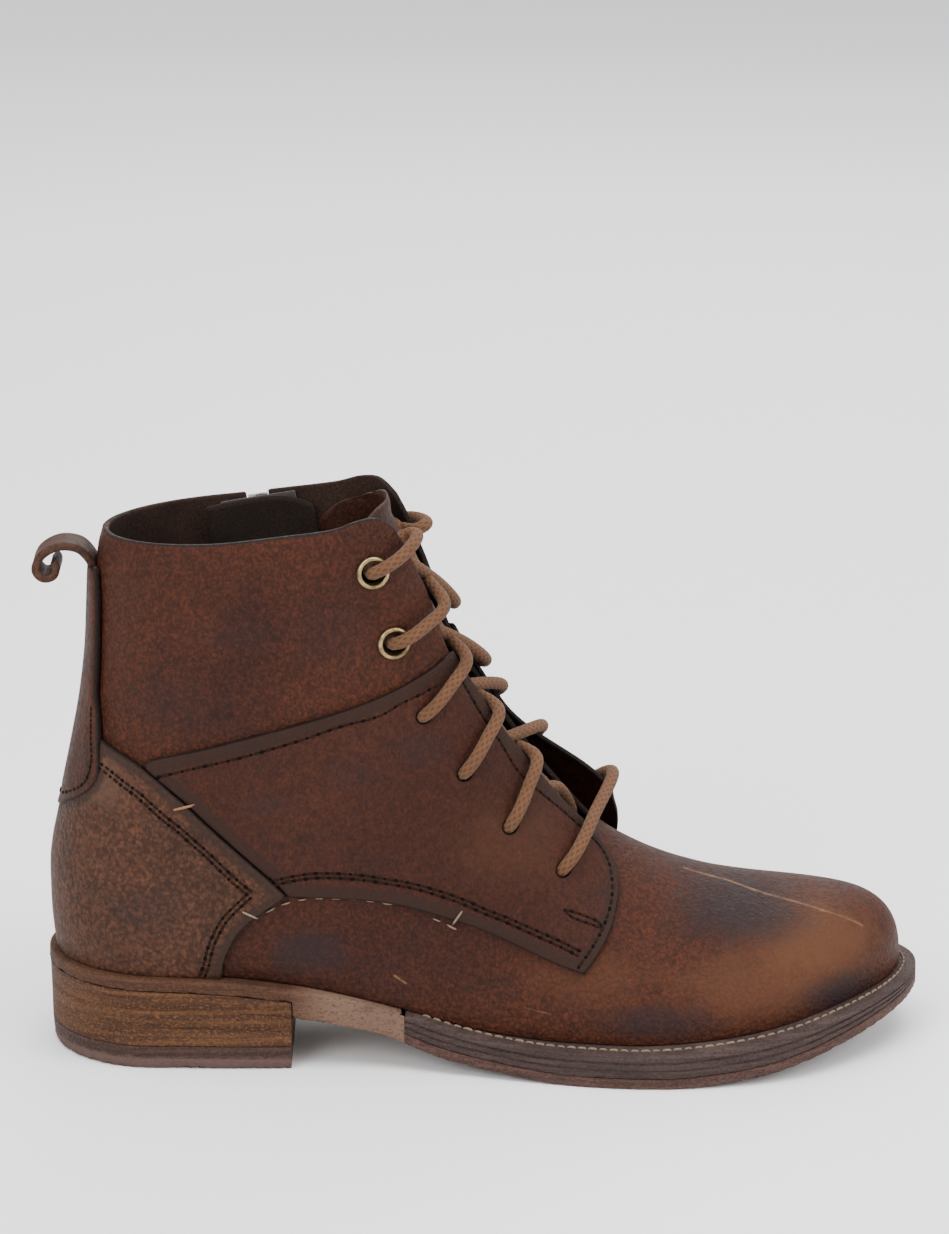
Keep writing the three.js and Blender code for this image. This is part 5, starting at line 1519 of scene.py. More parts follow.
TONGUE_FOOT, TONGUE_TOP, TONGUE_ROUND = 4.05, 17.2, 0.9
TONGUE_MARGIN, TONGUE_THICK, TONGUE_GAP = 12, 1.6, 1.1
LACE_SIZE, LACE_ROOM = 4.1, 1.9


def slab(name, outer, inner, material):
    """A closed body between two grids of points."""
    rows, columns = outer.shape[:2]
    count = rows * columns
    at = np.arange(count).reshape(rows, columns)
    faces = []
    for r in range(rows - 1):
        for c in range(columns - 1):
            a, b, d, e = at[r, c], at[r, c + 1], at[r + 1, c + 1], at[r + 1, c]
            faces += [(a, b, d, e), (e + count, d + count, b + count, a + count)]
    loop = [*at[0, :-1], *at[:-1, -1], *at[-1, :0:-1], *at[:0:-1, 0]]
    for a, b in zip(loop, [*loop[1:], loop[0]]):
        faces.append((b, a, a + count, b + count))
    obj = add_mesh(name, np.vstack([outer.reshape(-1, 3), inner.reshape(-1, 3)]), faces, material)
    close_mesh(obj)
    return obj


def tongue_layers():
    edge_line = beside(flowing(spots(CUFF_EDGE + FACING_EDGE), 1.2), -TONGUE_MARGIN)
    edge_s, edge_v = find_on_last(edge_line, 1)
    order = np.argsort(edge_s)
    s = np.linspace(0, 1, 110) ** 1.2 * (TONGUE_TOP - TONGUE_FOOT) + TONGUE_FOOT
    reach = np.interp(s, edge_s[order], edge_v[order])
    taper = np.clip((s - TONGUE_TOP + TONGUE_ROUND) / TONGUE_ROUND, 0, 1)
    spread = np.clip((s - 14.2) / 2.4, 0, 1)
    reach = reach * (1 + 0.38 * spread * spread * (3 - 2 * spread)) * (1 - 0.3 * taper**2)
    t = np.linspace(-1, 1, 45)
    grid_s, grid_t = np.meshgrid(s, t, indexing="ij")
    grid_v = reach[:, None] * grid_t
    grid_s = TONGUE_FOOT + (grid_s - TONGUE_FOOT) * (1 - 0.055 * np.abs(grid_t) ** 3)
    flat = last_point(grid_s, grid_v)
    normal = last_normal(grid_s, grid_v)
    throat = FACING_EDGE[-1][0] * SOLE_LENGTH
    drop = np.clip((throat + 6 - flat[..., 0]) / 12, 0, 1)
    drop = drop * drop * (3 - 2 * drop) * (4 + LACE_ROOM)
    depth = -(UPPER_WALL + TONGUE_GAP) - drop
    folds = 0.5 * np.sin(grid_s * 2.6 + 1.4 * grid_t) * np.clip(1 - grid_t**2, 0, 1)
    rim = np.minimum(1 - np.abs(grid_t), np.clip((TONGUE_TOP - grid_s) / 1.2, 0, 1))
    thin = 0.35 * np.clip(1 - rim / 0.05, 0, 1) ** 2
    outer = flat + normal * (depth + folds - thin * TONGUE_THICK)[..., None]
    inner = flat + normal * (depth + folds - TONGUE_THICK * (1 - thin))[..., None]
    return outer, inner


tongue_leather = leather(
    "tongue leather", (0.0295, 0.0091, 0.0047), (0.0416, 0.0131, 0.0063), (0.0171, 0.0071, 0.0051),
    worn_amount=0.5,
)
tongue = slab("tongue_leather", *tongue_layers(), tongue_leather)
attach(tongue, "boot")
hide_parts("tongue")

# Insole: a board with a leather sock glued on it, which fills the boot's floor.

INSOLE_THICK = 3


def insole_outline(x, side):
    base = np.clip((NOSE - x) / (NOSE - HEEL_CUP), 0, 1)
    s = np.interp(base, SECTIONS[:, 0], np.arange(len(SECTIONS)))
    return last_point(s, np.full(len(s), float(side)))[:, 1]


insole_xs = HEEL_CUP + (NOSE - HEEL_CUP) * (1 - np.cos(np.linspace(0, math.pi, 90))) / 2
sock = sole_layer(
    "insole_sock",
    insole_xs,
    lambda x: seat(x) + SEAT_GAP + INSOLE_THICK,
    lambda x: seat(x) + SEAT_GAP,
    rounded_edge(0.8, INSOLE_THICK, low=False),
    lining("sock leather", (0.03, 0.015, 0.009)),
    inset=UPPER_WALL + 1.5,
    outline=insole_outline,
)
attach(sock, "boot")
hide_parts("insole")

# Stitches, eyelets and zip teeth: each is one small piece, set along its seam by Geometry Nodes.


def new_row_tree():
    tree = bpy.data.node_groups.new("set along a seam", "GeometryNodeTree")
    for label, kind in (
        ("Seam", "NodeSocketGeometry"),
        ("Piece", "NodeSocketObject"),
        ("Length", "NodeSocketFloat"),
        ("Width", "NodeSocketFloat"),
        ("Height", "NodeSocketFloat"),
        ("Unevenness", "NodeSocketFloat"),
        ("Finish", "NodeSocketMaterial"),
    ):
        tree.interface.new_socket(label, in_out="INPUT", socket_type=kind)
    tree.interface.new_socket("Row", in_out="OUTPUT", socket_type="NodeSocketGeometry")
    given = node(tree, "NodeGroupInput").outputs
    along = node(
        tree, "GeometryNodeInputNamedAttribute", {"Name": "along"}, data_type="FLOAT_VECTOR"
    )
    out = node(tree, "GeometryNodeInputNamedAttribute", {"Name": "out"}, data_type="FLOAT_VECTOR")
    turn = node(
        tree,
        "FunctionNodeAxesToRotation",
        {"Primary Axis": along.outputs["Attribute"], "Secondary Axis": out.outputs["Attribute"]},
        primary_axis="X",
        secondary_axis="Z",
    )
    piece = node(tree, "GeometryNodeObjectInfo", {"Object": given["Piece"]})
    size = node(
        tree, "ShaderNodeCombineXYZ", {0: given["Length"], 1: given["Width"], 2: given["Height"]}
    )
    least = maths(tree, "SUBTRACT", 1.0, given["Unevenness"])
    most = maths(tree, "ADD", 1.0, given["Unevenness"])
    vary = node(tree, "FunctionNodeRandomValue", data_type="FLOAT")
    tree.links.new(least, vary.inputs[2])
    tree.links.new(most, vary.inputs[3])
    vary.inputs["Seed"].default_value = 7
    scaled = node(
        tree, "ShaderNodeVectorMath", {0: size.outputs[0], "Scale": vary.outputs[1]},
        operation="SCALE",
    )
    placed = node(
        tree,
        "GeometryNodeInstanceOnPoints",
        {
            "Points": given["Seam"],
            "Instance": piece.outputs["Geometry"],
            "Rotation": turn.outputs["Rotation"],
            "Scale": scaled.outputs["Vector"],
        },
    )
    real = node(tree, "GeometryNodeRealizeInstances", {"Geometry": placed.outputs["Instances"]})
    done = node(
        tree,
        "GeometryNodeSetMaterial",
        {"Geometry": real.outputs["Geometry"], "Material": given["Finish"]},
    )
    tree.links.new(done.outputs["Geometry"], node(tree, "NodeGroupOutput").inputs["Row"])
    return tree


row_tree = new_row_tree()
row_sockets = {
    item.name: item.identifier for item in row_tree.interface.items_tree if item.in_out == "INPUT"
}


def set_rows(name, rows, piece, size, material, unevenness=0.0):
    """rows is a list of (points, along, out) in mm. The small piece is one unit in size."""
    points, along, out = (np.vstack(parts) for parts in zip(*rows))
    mesh = bpy.data.meshes.new(name)
    mesh.from_pydata(in_row(points).tolist(), [], [])
    for label, values in (("along", along), ("out", out)):
        layer = mesh.attributes.new(label, "FLOAT_VECTOR", "POINT")
        layer.data.foreach_set("vector", values.ravel())
    carrier = bpy.data.objects.new(name + "_seam", mesh)
    bpy.context.scene.collection.objects.link(carrier)
    rows_made = carrier.modifiers.new("rows", "NODES")
    rows_made.node_group = row_tree
    values = {"Piece": piece, "Unevenness": unevenness, "Finish": material}
    values.update(zip(("Length", "Width", "Height"), (side * MM for side in size)))
    for label, value in values.items():
        rows_made[row_sockets[label]] = value
    bpy.context.view_layer.update()
    ready = carrier.evaluated_get(bpy.context.evaluated_depsgraph_get())
    plain = bpy.data.meshes.new_from_object(ready)
    bpy.data.objects.remove(carrier)
    for label in ("along", "out"):
        if label in plain.attributes:
            plain.attributes.remove(plain.attributes[label])
    obj = bpy.data.objects.new(name, plain)
    bpy.context.scene.collection.objects.link(obj)
    plain.shade_smooth()
    return obj


def small_piece(name, points, faces):
    mesh = bpy.data.meshes.new(name)
    mesh.from_pydata(np.asarray(points, float).tolist(), [], [tuple(map(int, f)) for f in faces])
    obj = bpy.data.objects.new(name, mesh)
    bpy.context.scene.collection.objects.link(obj)
    close_mesh(obj)
    return obj


def lathe(profile, count, closed=True):
    """Rings of a profile of (radius, height) round the z axis."""
    turn = np.linspace(0, 2 * math.pi, count, endpoint=False)
    ring = np.stack([np.cos(turn), np.sin(turn)], axis=-1)
    points = [(*(r * d), z) for r, z in profile for d in ring]
    size = len(profile)
    faces = []
    for k in range(size if closed else size - 1):
        for i in range(count):
            a, b = k * count + i, k * count + (i + 1) % count
            c = (k + 1) % size * count
            faces.append((a, b, c + (i + 1) % count, c + i))
    return points, faces


def thread_piece():
    """One stitch: a short thread that dives into the leather at both ends."""
    ends = np.linspace(-0.5, 0.5, 7)
    rings = []
    for x in ends:
        swell = math.sqrt(max(0.0, 1 - (2 * x) ** 4))
        sink = -0.5 * (2 * x) ** 4
        half = 0.5 * (0.35 + 0.65 * swell)
        turns = np.linspace(0, 2 * math.pi, 6, endpoint=False)
        rings.append([(x, half * math.cos(a), sink + 0.5 * swell * math.sin(a)) for a in turns])
    points = [p for ring in rings for p in ring]
    faces = tube_faces(7, 6)
    faces += [tuple(range(6))[::-1], tuple(36 + i for i in range(6))]
    return small_piece("stitch", points, faces)


# Painted shade: a near-black lens sunk into the leather at each needle hole, in place of the shade
# inside the hole.
def hole_shade_lens():
    points, faces = lathe(
        [(0.0, 0.3), (0.35, 0.22), (0.5, 0.0), (0.35, -0.3), (0.0, -0.4)], 7, False
    )
    return small_piece("needle hole", points, faces)


def stitch_row(line, side, lift, pitch=STITCH_PITCH, extra=None):
    """Places of the stitches along a side-view line, and of the holes between them."""
    line = even(line, pitch / 2)
    s, v = find_on_last(line, side)
    points = last_point(s, v)
    raised = lift + (extra(points) if extra else 0)
    points = skin(s, v, np.zeros(len(s)) + raised)
    along = unit(np.gradient(points, axis=0))
    out = last_normal(s, v)
    stitches = (points[1::2], along[1::2], out[1::2])
    holes = (points[::2], along[::2], out[::2])
    return stitches, holes


def thread(name, colour, twist=2600.0):
    material, tree, principled = shader(name, specular=0.08)
    place = node(tree, "ShaderNodeTexCoord").outputs["Object"]
    strands = noise(tree, place, twist, 2.0, 0.6)
    tint = blend(
        tree,
        ramp(tree, strands, 0.3, 0.7),
        tuple(c * 0.65 for c in colour),
        tuple(c * 1.3 for c in colour),
    )
    finish_surface(tree, principled, tint, 0.75, strands, 0.4, 0.0002)
    return material


stitch = thread_piece()
stitch_hole_shade = hole_shade_lens()
dark_thread = thread("dark brown thread", (0.0155, 0.0062, 0.004))
pale_thread = thread("natural thread", (0.17, 0.125, 0.088))
tan_thread = thread("tan thread", (0.2, 0.1, 0.05))
# Near-black finish for the needle-hole lenses: painted shade.
hole_shade_finish = thread("painted hole shade", (0.002, 0.0012, 0.001))

quarter_top = 0.3 + QUARTER_THICK
counter_top = 0.3 + COUNTER_THICK
dark_rows = []
hole_shade_rows = []


def sew(line, side, lift, pitch=STITCH_PITCH, extra=None):
    stitches, holes = stitch_row(line, side, lift, pitch, extra)
    dark_rows.append(stitches)
    hole_shade_rows.append(holes)


for side in (-1, 1):
    turned = flare if side > 0 else None
    for line in quarter_seams:
        if side > 0:
            near_zip = distance_to(line, [zip_line]) < ZIP_SLOT / 2 + 3
            pieces = np.split(line, np.flatnonzero(np.diff(near_zip.astype(int))) + 1)
            middles = [part[len(part) // 2][None] for part in pieces]
            clear = [distance_to(middle, [zip_line])[0] > 6.4 for middle in middles]
            pieces = [part for part, is_clear in zip(pieces, clear) if is_clear]
        else:
            pieces = [line]
        for part in pieces:
            sew(part, side, quarter_top - 0.2, extra=turned)
    for line in counter_rows:
        sew(line, side, counter_top - 0.2)
    sew(stay_line, side, 0.3 + STAY_THICK - 0.2)
box = flowing(
    spots([(0.596, 0.262), (0.59, 0.276), (0.625, 0.25), (0.628, 0.238), (0.6, 0.258)]), 1.0
)
sew(box, -1, quarter_top - 0.05, 2.6)
stitching = set_rows("panel_stitches", dark_rows, stitch, (2.35, 0.85, 0.75), dark_thread, 0.1)
# Painted shade at each needle hole between the stitches.
holes = set_rows("needle_holes", hole_shade_rows, stitch_hole_shade, (1.6, 1.15, 0.55), hole_shade_finish, 0.15)

WHITE_EDGE = [
    (0.25, 0.152), (0.264, 0.17), (0.281, 0.187), (0.303, 0.202), (0.337, 0.216), (0.365, 0.223),
    (0.39, 0.227),
]
WHITE_EDGE_FRONT = [(0.437, 0.222), (0.45, 0.219), (0.463, 0.213)]
pale_rows = [
    stitch_row(flowing(spots(rows), 1), -1, 0.5, 5.2)[0] for rows in (WHITE_EDGE, WHITE_EDGE_FRONT)
]
edge_stitches = set_rows("edge_stitches", pale_rows, stitch, (3.2, 0.6, 0.8), pale_thread, 0.15)


def tack(ends, lift):
    """One long stitch between two places in side view."""
    line = spots(ends)
    s, v = find_on_last(np.vstack([line[0], line.mean(0), line[1]]), -1)
    points = skin(s, v, np.full(3, float(lift)))
    along = unit(points[2:] - points[:1])
    length = float(np.linalg.norm(points[2] - points[0]))
    return (points[1:2], along, last_normal(s, v)[1:2]), length


tan_row, tan_length = tack([(0.148, 0.374), (0.175, 0.389)], counter_top)
tan_tack = set_rows("tan_tack", [tan_row], stitch, (tan_length, 0.9, 0.9), tan_thread)
white_row, white_length = tack([(0.225, 0.157), (0.245, 0.143)], counter_top)
bar_row, _ = tack([(0.463, 0.217), (0.477, 0.262)], quarter_top)
white_tacks = set_rows(
    "white_tacks", [white_row, bar_row], stitch, (white_length, 0.7, 0.8), pale_thread
)

WELT_STITCH_INSET = 3.9
welt_xs = stations(117, SOLE_LENGTH)
sides = [np.stack([welt_xs, sole_outline(welt_xs, side)], axis=-1) for side in (-1, 1)]
welt_line = even(np.vstack([sides[0], sides[1][::-1][1:]]), 1.0)
welt_line = even(beside(welt_line, WELT_STITCH_INSET), 1.65)
welt_points = np.column_stack([welt_line, seat(welt_line[:, 0]) + 0.22])
welt_along = unit(np.gradient(welt_points, axis=0))
welt_out = np.tile([0.0, 0.0, 1.0], (len(welt_points), 1))
welt_rows = [(welt_points[1::2], welt_along[1::2], welt_out[1::2])]
welt_stitches = set_rows("welt_stitches", welt_rows, stitch, (3.05, 0.8, 0.85), pale_thread, 0.16)
for piece in (stitching, holes, edge_stitches, tan_tack, white_tacks, welt_stitches):
    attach(piece, "boot")

# Eyelets: rolled brass rings, dulled to an antique finish, two in each side of the cuff.

EYELET_PROFILE = [
    (3.55, -1.9), (3.6, 0.3), (3.72, 0.75), (4.0, 1.08), (4.4, 1.18), (4.85, 1.0), (5.15, 0.55),
    (5.22, 0.05), (4.25, 0.02), (4.15, -1.9),
]


def metal(name, colour, dull, rough):
    material, tree, principled = shader(name, specular=0.5)
    principled.inputs["Metallic"].default_value = 1
    place = node(tree, "ShaderNodeTexCoord").outputs["Object"]
    stain = noise(tree, place, 420.0, 4.0, 0.6)
    fine = noise(tree, place, 2400.0, 2.0, 0.6)
    tint = blend(tree, ramp(tree, stain, 0.35, 0.7), colour, dull)
    finish_surface(
        tree, principled, tint, ramp(tree, stain, 0.3, 0.7, rough, rough + 0.2), fine, 0.15, 0.0001
    )
    return material


brass = metal("antique brass", (0.357, 0.264, 0.133), (0.136, 0.092, 0.049), 0.3)
ring_points, ring_faces = lathe(EYELET_PROFILE, 40)
eyelet = small_piece("eyelet", ring_points, ring_faces)
places = spots(LACE_HOLES[4:])
eyelet_rows = []
for side in (-1, 1):
    s, v = find_on_last(places, side)
    points = skin(s, v, np.zeros(2))
    out = last_normal(s, v)
    eyelet_rows.append((points, unit(np.cross(out, (0.0, 1.0, 0.3))), out))
eyelets = set_rows("brass_eyelets", eyelet_rows, eyelet, (1, 1, 1), brass)
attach(eyelets, "boot")
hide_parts("eyelet_lateral_1", "eyelet_medial_1", "eyelet_lateral_2", "eyelet_medial_2")

# Lace: one round braided cotton cord. It lies straight across the bottom pair of holes, crosses
# up the throat, each strand over its own facing and under the other, and its ends turn in over
# the cuff and stop at the top eyelets.


def nearest_on(line, spot):
    return line[np.argmin(np.linalg.norm(line - spot, axis=1))]


# Where each strand passes over the edge of its facing
LACE_CREST = [(0.623, 0.401), (0.548, 0.56), (0.507, 0.668), (0.467, 0.772), (0.444, 0.89)]
# The same on the inner side, from there in mm
INNER_CREST = np.array([(0, 0), (0, 0), (1, -2), (5.5, -11.5), (4.5, -9)])
facing_line = flowing(spots(CUFF_EDGE + FACING_EDGE), 1.0)
crest_spots = spots(LACE_CREST)
hole_spots = spots(LACE_HOLES)


def off_last(spot, side, outward):
    s, v = find_on_last(np.array([spot]), side)
    return last_point(s, v)[0] + last_normal(s, v)[0] * outward


def over(spot, side, hole, extra=0.0):
    leather = 1.2 if hole > 3 else QUARTER_THICK
    point = np.array([[spot[0], 0.0, spot[1]]])
    turned = flare(point)[0] if side > 0 else 0
    return off_last(spot, side, 0.35 + leather + LACE_SIZE / 2 + turned + extra)


def under(spot, side, extra=0.0):
    return off_last(spot, side, -(UPPER_WALL + 0.4 + LACE_SIZE / 2 + extra))


def through(hole, side):
    """Points of the lace in a hole, from inside the boot to the outer face."""
    spot = hole_spots[hole]
    turned = flare(np.array([[spot[0], 0.0, spot[1]]]))[0] if side > 0 else 0
    return [off_last(spot, side, -3.6), off_last(spot, side, 0.4 + turned)]


def crossing(side, hole):
    """From inside one hole over its facing and under the other, to inside the next hole."""
    start, end = hole_spots[hole], hole_spots[hole + 1]
    crest_spot = nearest_on(facing_line, crest_spots[hole] + (INNER_CREST[hole] if side > 0 else 0))
    low_spot = nearest_on(facing_line, end) * 0.75 + end * 0.25
    crest = over(crest_spot, side, hole, 0.3)
    ahead = under(low_spot, -side)
    top = find_on_last(np.array([(crest_spot + low_spot) / 2]), 1)[0]
    up = last_normal(top, np.zeros(1))[0]
    middle = (crest + ahead) / 2 + up * (2.9 if side > 0 else -1.3)
    return [
        *through(hole, side),
        over(start * 0.76 + crest_spot * 0.24, side, hole, 0.2),
        over(start * 0.38 + crest_spot * 0.62, side, hole, 0.9),
        crest,
        middle,
        ahead,
        under(end * 0.6 + low_spot * 0.4, -side, 0.3),
    ]


def low_crossing(side):
    start = nearest_on(facing_line, hole_spots[0]) * 0.7 + hole_spots[0] * 0.3
    end = nearest_on(facing_line, hole_spots[1]) * 0.7 + hole_spots[1] * 0.3
    s = find_on_last(np.array([(start + end) / 2]), 1)[0]
    middle = last_point(s, np.zeros(1))[0]
    middle = middle + last_normal(s, np.zeros(1))[0] * (
        -(UPPER_WALL + 0.5 + LACE_SIZE / 2) + side * 1.2
    )
    return [off_last(hole_spots[0], side, -4.0), under(start, side), middle, under(end, -side)]


def lace_end(side):
    spot = hole_spots[5]
    edge = nearest_on(facing_line, spot + ((9.5, 7.5) if side < 0 else (11.5, 2)))
    ahead = unit(edge - spot)
    return [
        *through(5, side),
        over(spot + ahead * 4.5, side, 5, 0.3),
        over(edge - ahead * 3, side, 5, 0.9),
        off_last(edge + ahead * 2.6, side, 1.8),
        off_last(edge + ahead * 3.2, side, -2.6),
        under(edge - ahead * 0.5, side),
        under(edge - ahead * 6, side),
    ]


def half_lace(side):
    """From the bottom hole on one side up to the end over the top eyelet."""
    points = low_crossing(side)
    for hole in (1, 2, 3, 4):
        side = -side
        points += crossing(side, hole)
    return points + lace_end(-side)


def bottom_bar():
    spot = hole_spots[0]
    edge = nearest_on(facing_line, spot + (0, 4))

    def half(side):
        return [
            *through(0, side)[1:],
            over(spot * 0.7 + edge * 0.3, side, 0, 0.4),
            over(spot * 0.3 + edge * 0.7, side, 0, 0.8),
            over(edge, side, 0, 1),
        ]

    return half(1) + half(-1)[::-1]


def spline(points, pitch):
    """A smooth line through points in space, sampled at an even pitch."""
    points = np.asarray(points)
    gap = np.linalg.norm(np.diff(points, axis=0), axis=1) ** 0.5
    knots = np.concatenate([[0], np.cumsum(gap)])
    tangent = np.gradient(points, knots, axis=0)
    dense = []
    for i in range(len(points) - 1):
        t = np.linspace(0, 1, 24, endpoint=False)[:, None]
        h = knots[i + 1] - knots[i]
        a, b = points[i], points[i + 1]
        m, n = tangent[i] * h, tangent[i + 1] * h
        start = a * (2 * t**3 - 3 * t**2 + 1) + m * (t**3 - 2 * t**2 + t)
        dense.append(start + b * (3 * t**2 - 2 * t**3) + n * (t**3 - t**2))
    return even(np.vstack([*dense, points[-1:]]), pitch)


def braided_cord(name, line, size, material, sides=24, strands=6, lay=2.9):
    """A round cord whose strands cross in both directions round it."""
    run = unit(np.gradient(line, axis=0))
    first = unit(np.cross(run[0], (0.3, 0.2, 1.0)))
    frames = [first]
    for direction in run[1:]:
        before = frames[-1]
        frames.append(unit(before - direction * (before @ direction)))
    across = np.array(frames)
    out = np.cross(run, across)
    turn = np.linspace(0, 2 * math.pi, sides, endpoint=False)
    along = np.arange(len(line))[:, None] * np.linalg.norm(line[1] - line[0])
    left = np.cos(strands * turn[None] + along * math.pi * 2 / lay)
    right = np.cos(strands * turn[None] - along * math.pi * 2 / lay)
    weave = np.maximum(left, right)
    radius = size / 2 * (0.93 + 0.07 * weave)
    aside, outward = np.cos(turn)[None, :, None], np.sin(turn)[None, :, None]
    ring = across[:, None] * aside + out[:, None] * outward
    points = line[:, None] + ring * radius[..., None]
    count = len(line)
    at = np.arange(count * sides).reshape(count, sides)
    faces = [
        (at[r, i], at[r, (i + 1) % sides], at[r + 1, (i + 1) % sides], at[r + 1, i])
        for r in range(count - 1)
        for i in range(sides)
    ]
    faces += [tuple(at[0][::-1]), tuple(at[-1])]
    obj = add_mesh(name, points.reshape(-1, 3), faces, material)
    # The weave value is low in the sunken gaps between strands; the lace's material darkens those
    # gaps as painted shade.
    obj.data.attributes.new("weave", "FLOAT", "POINT").data.foreach_set("value", weave.ravel())
    close_mesh(obj, 1e-7)
    return obj


def cotton(name, colour, dark):
    material, tree, principled = shader(name, specular=0.15, sheen=0.06)
    place = node(tree, "ShaderNodeTexCoord").outputs["Object"]
    fibre = noise(tree, place, 2600.0, 3.0, 0.65)
    tone = noise(tree, place, 120.0, 2.0)
    weave = node(tree, "ShaderNodeAttribute", attribute_name="weave").outputs["Fac"]
    # Painted shade: the braid's sunken gaps between strands are darkened.
    tint = blend(tree, ramp(tree, weave, -0.5, 0.8), dark, colour)
    tint = blend(tree, ramp(tree, fibre, 0.6, 0.35, 0, 0.5), tint, dark)
    tint = blend(tree, ramp(tree, tone, 0.45, 0.75, 0, 0.45), tint, dark)
    finish_surface(tree, principled, tint, 0.88, fibre, 0.5, 0.0003)
    return material


lace_cotton = cotton("waxed cotton braid", (0.122, 0.0575, 0.0285), (0.07, 0.031, 0.015))
lace_path = half_lace(-1)[::-1] + bottom_bar()[::-1] + half_lace(1)
lace = braided_cord("braided_lace", spline(lace_path, 0.42), LACE_SIZE, lace_cotton)
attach(lace, "boot")
crossings = [f"lace_crossing_{i}" for i in range(1, 6)]
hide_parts("lace_bar", "lace_end_lateral", "lace_end_medial", *crossings)

# Zip: a coil of metal teeth on two woven tapes in the slot of the inner side, with its slider
# run up to the collar, and a leather guard behind it against the foot.

TAPE_DEPTH = UPPER_WALL + 3 * FIT
zip_length = float(np.linalg.norm(np.diff(zip_line, axis=0), axis=1).sum())


def zip_grid(width, start, end, depth, along, across, corner=0.0):
    """Points beside the zip's line. corner is how far the top's front corner is cut down."""
    line = even(zip_line, zip_length / 400)
    offsets = np.linspace(-width / 2, width / 2, across)
    top = end - corner * np.clip(-offsets * 2 / width, 0, 1) ** 2.5
    reach = start + np.linspace(0, 1, along)[:, None] * (top - start)
    marks = np.linspace(0, zip_length, len(line))
    spine = np.stack([np.interp(reach, marks, column) for column in line.T], axis=-1)
    run = unit(np.gradient(spine, axis=0))
    aside = np.stack([-run[..., 1], run[..., 0]], axis=-1)
    grid = spine + aside * offsets[:, None]
    s, v = find_on_last(grid.reshape(-1, 2), 1)
    s, v = s.reshape(grid.shape[:2]), v.reshape(grid.shape[:2])
    return last_point(s, v) + last_normal(s, v) * depth, last_normal(s, v)


def woven(name, colour):
    material, tree, principled = shader(name, specular=0.2, sheen=0.2)
    place = node(tree, "ShaderNodeTexCoord").outputs["Object"]
    warp = node(
        tree, "ShaderNodeTexWave", {"Vector": place, "Scale": 900.0}, bands_direction="X"
    ).outputs["Fac"]
    weft = node(
        tree, "ShaderNodeTexWave", {"Vector": place, "Scale": 900.0}, bands_direction="Z"
    ).outputs["Fac"]
    weave = maths(tree, "MULTIPLY", warp, weft)
    tint = blend(tree, weave, tuple(c * 0.6 for c in colour), tuple(c * 1.5 for c in colour))
    finish_surface(tree, principled, tint, 0.9, weave, 0.5, 0.0002)
    return material


tape_cloth = woven("zip tape", (0.03, 0.022, 0.018))
zip_end = zip_length - 1
outer = zip_grid(24, 0.3, zip_end, -TAPE_DEPTH, 60, 17)[0]
inner = zip_grid(24, 0.3, zip_end, -TAPE_DEPTH - 0.8, 60, 17)[0]
tape = slab("zip_tapes", outer, inner, tape_cloth)
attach(tape, "boot")
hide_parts("zip_tape")

guard_depth = -(TAPE_DEPTH + 0.8 + 2 * FIT)
wave = 0.35 * np.sin(np.linspace(0, 9, 60))[:, None, None]
guard_outer, guard_out = zip_grid(34, 0.3, zip_end, guard_depth, 60, 25, 5.0)
guard = slab(
    "zip_guard_leather",
    guard_outer + guard_out * (wave - 0.35),
    guard_outer + guard_out * (wave - 1.3),
    lining("guard leather", (0.014, 0.0088, 0.007)),
)
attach(guard, "boot")
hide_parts("zip_guard")


def tooth_piece():
    """One zip tooth: a bar across the tape with a rounded head at its inner end."""
    profile = [(-0.5, -0.5), (0.5, -0.5), (0.5, 0.25), (0.28, 0.5), (-0.28, 0.5), (-0.5, 0.25)]
    stations_y = [
        (-0.5, 0.72), (-0.38, 0.95), (0.1, 0.95), (0.2, 0.75), (0.32, 1.0), (0.46, 0.9), (0.5, 0.55)
    ]
    points = [(x * k, y, z * k) for y, k in stations_y for x, z in profile]
    faces = []
    for r in range(len(stations_y) - 1):
        for i in range(6):
            faces.append(
                (r * 6 + i, r * 6 + (i + 1) % 6, (r + 1) * 6 + (i + 1) % 6, (r + 1) * 6 + i)
            )
    faces += [tuple(range(6))[::-1], tuple(36 + i for i in range(6))]
    return small_piece("zip tooth", points, faces)


zip_metal = metal("zip metal", (0.29, 0.285, 0.28), (0.2, 0.195, 0.19), 0.32)
tooth = tooth_piece()
count = int((zip_end - ZIP_START - 1.5) / 0.95)
middle, tooth_out = zip_grid(2.0, ZIP_START + 1.2, zip_end, -TAPE_DEPTH + 0.62, count, 3)
tooth_along = unit(np.gradient(middle[:, 1], axis=0))
tooth_side = unit(np.cross(tooth_out[:, 1], tooth_along))
tooth_rows = []
for which in (0, 1):
    sign = 1 if which else -1
    at = slice(which, None, 2)
    place = middle[at, 1] - sign * tooth_side[at] * 0.95
    tooth_rows.append((place, sign * tooth_along[at], tooth_out[at, 1]))
teeth = set_rows("zip_teeth_metal", tooth_rows, tooth, (1.15, 2.9, 1.35), zip_metal)
sharpen(teeth, 35)
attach(teeth, "boot")
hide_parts("zip_teeth")
for part in (stitch, stitch_hole_shade, eyelet, tooth):
    bpy.data.objects.remove(part)


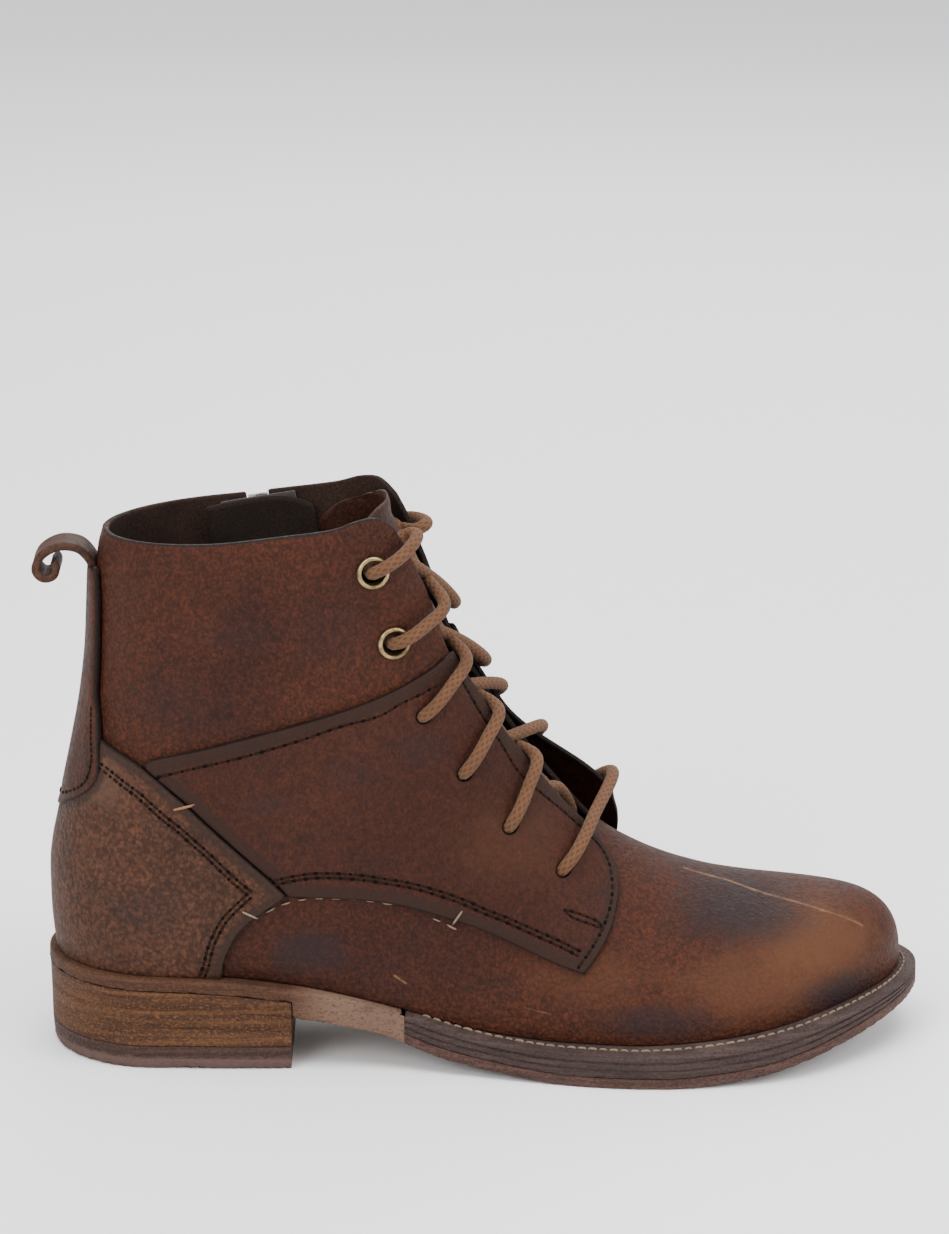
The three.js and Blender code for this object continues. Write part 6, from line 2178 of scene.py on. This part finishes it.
def cast_metal(name, source, body, rounding):
    """A die-cast piece of the frame's own form, its edges rounded off."""
    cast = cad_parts[source]
    mesh = cast.data.copy()
    mesh.transform(cast.matrix_world)
    shape = bmesh.new()
    shape.from_mesh(mesh)
    bmesh.ops.remove_doubles(shape, verts=shape.verts, dist=1e-6)
    bmesh.ops.dissolve_limit(
        shape, angle_limit=math.radians(2), verts=shape.verts, edges=shape.edges
    )
    corners = [
        e for e in shape.edges if len(e.link_faces) == 2 and e.calc_face_angle(0) > math.radians(50)
    ]
    bmesh.ops.bevel(
        shape,
        geom=corners,
        offset=rounding * MM,
        segments=3,
        profile=0.5,
        affect="EDGES",
        clamp_overlap=True,
    )
    bmesh.ops.triangulate(shape, faces=shape.faces)
    shape.to_mesh(mesh)
    shape.free()
    mesh.materials.clear()
    mesh.materials.append(zip_metal)
    mesh.shade_smooth()
    obj = bpy.data.objects.new(name, mesh)
    bpy.context.scene.collection.objects.link(obj)
    close_mesh(obj, 1e-7)
    sharpen(obj, 35)
    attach(obj, body)
    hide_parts(source)


cast_metal("zip_slider_metal", "zip_slider", "boot", 0.32)
cast_metal("zip_pull_metal", "zip_pull", "pull_tab", 0.3)

# Studio: a pale floor, soft light from above and the sides, and a long lens at the height and
# distance that the photograph was taken from.

floor_material, _, floor_shader = shader("pale floor", specular=0.2)
floor_shader.inputs["Base Color"].default_value = (0.92, 0.92, 0.92, 1)
floor_shader.inputs["Roughness"].default_value = 0.9
bpy.ops.mesh.primitive_plane_add(size=12, location=(0, 0, 0))
floor = bpy.context.object
floor.name = "floor"
floor.data.materials.append(floor_material)

world = bpy.data.worlds.new("studio")
bpy.context.scene.world = world
world.use_nodes = True
world.node_tree.nodes["Background"].inputs["Color"].default_value = (1, 1, 1, 1)
world.node_tree.nodes["Background"].inputs["Strength"].default_value = 1.0


def soft_light(name, place, aim, size, power):
    data = bpy.data.lights.new(name, "AREA")
    data.shape = "RECTANGLE"
    data.size, data.size_y = size
    data.energy = power
    light = bpy.data.objects.new(name, data)
    light.location = place
    light.rotation_euler = (Vector(aim) - Vector(place)).to_track_quat("-Z", "Y").to_euler()
    bpy.context.scene.collection.objects.link(light)


soft_light("top", (0.0, -0.2, 1.3), (0, 0, 0.05), (1.4, 1.0), 21)
soft_light("front left", (-0.9, -1.3, 0.9), (0, 0, 0.08), (0.9, 0.9), 18)
soft_light("right", (1.2, -0.5, 0.7), (0, 0, 0.08), (0.7, 0.9), 12)
soft_light("back", (0.2, 1.2, 0.9), (0, 0, 0.1), (1.0, 0.7), 10)

CAMERA_PLACE = (137, -1600, 620)
CAMERA_AIM = (134.3, 0, 137.6)
FOCAL_PIXELS = 5378.4
FRAME_HEIGHT = 1234
camera_data = bpy.data.cameras.new("camera")
camera_data.sensor_fit = "VERTICAL"
camera_data.sensor_height = 24
camera_data.lens = FOCAL_PIXELS / FRAME_HEIGHT * camera_data.sensor_height
camera = bpy.data.objects.new("camera", camera_data)
camera.location = in_row(CAMERA_PLACE)
look = Vector(in_row(CAMERA_AIM)) - camera.location
camera.rotation_euler = look.to_track_quat("-Z", "Y").to_euler()
bpy.context.scene.collection.objects.link(camera)
bpy.context.scene.camera = camera
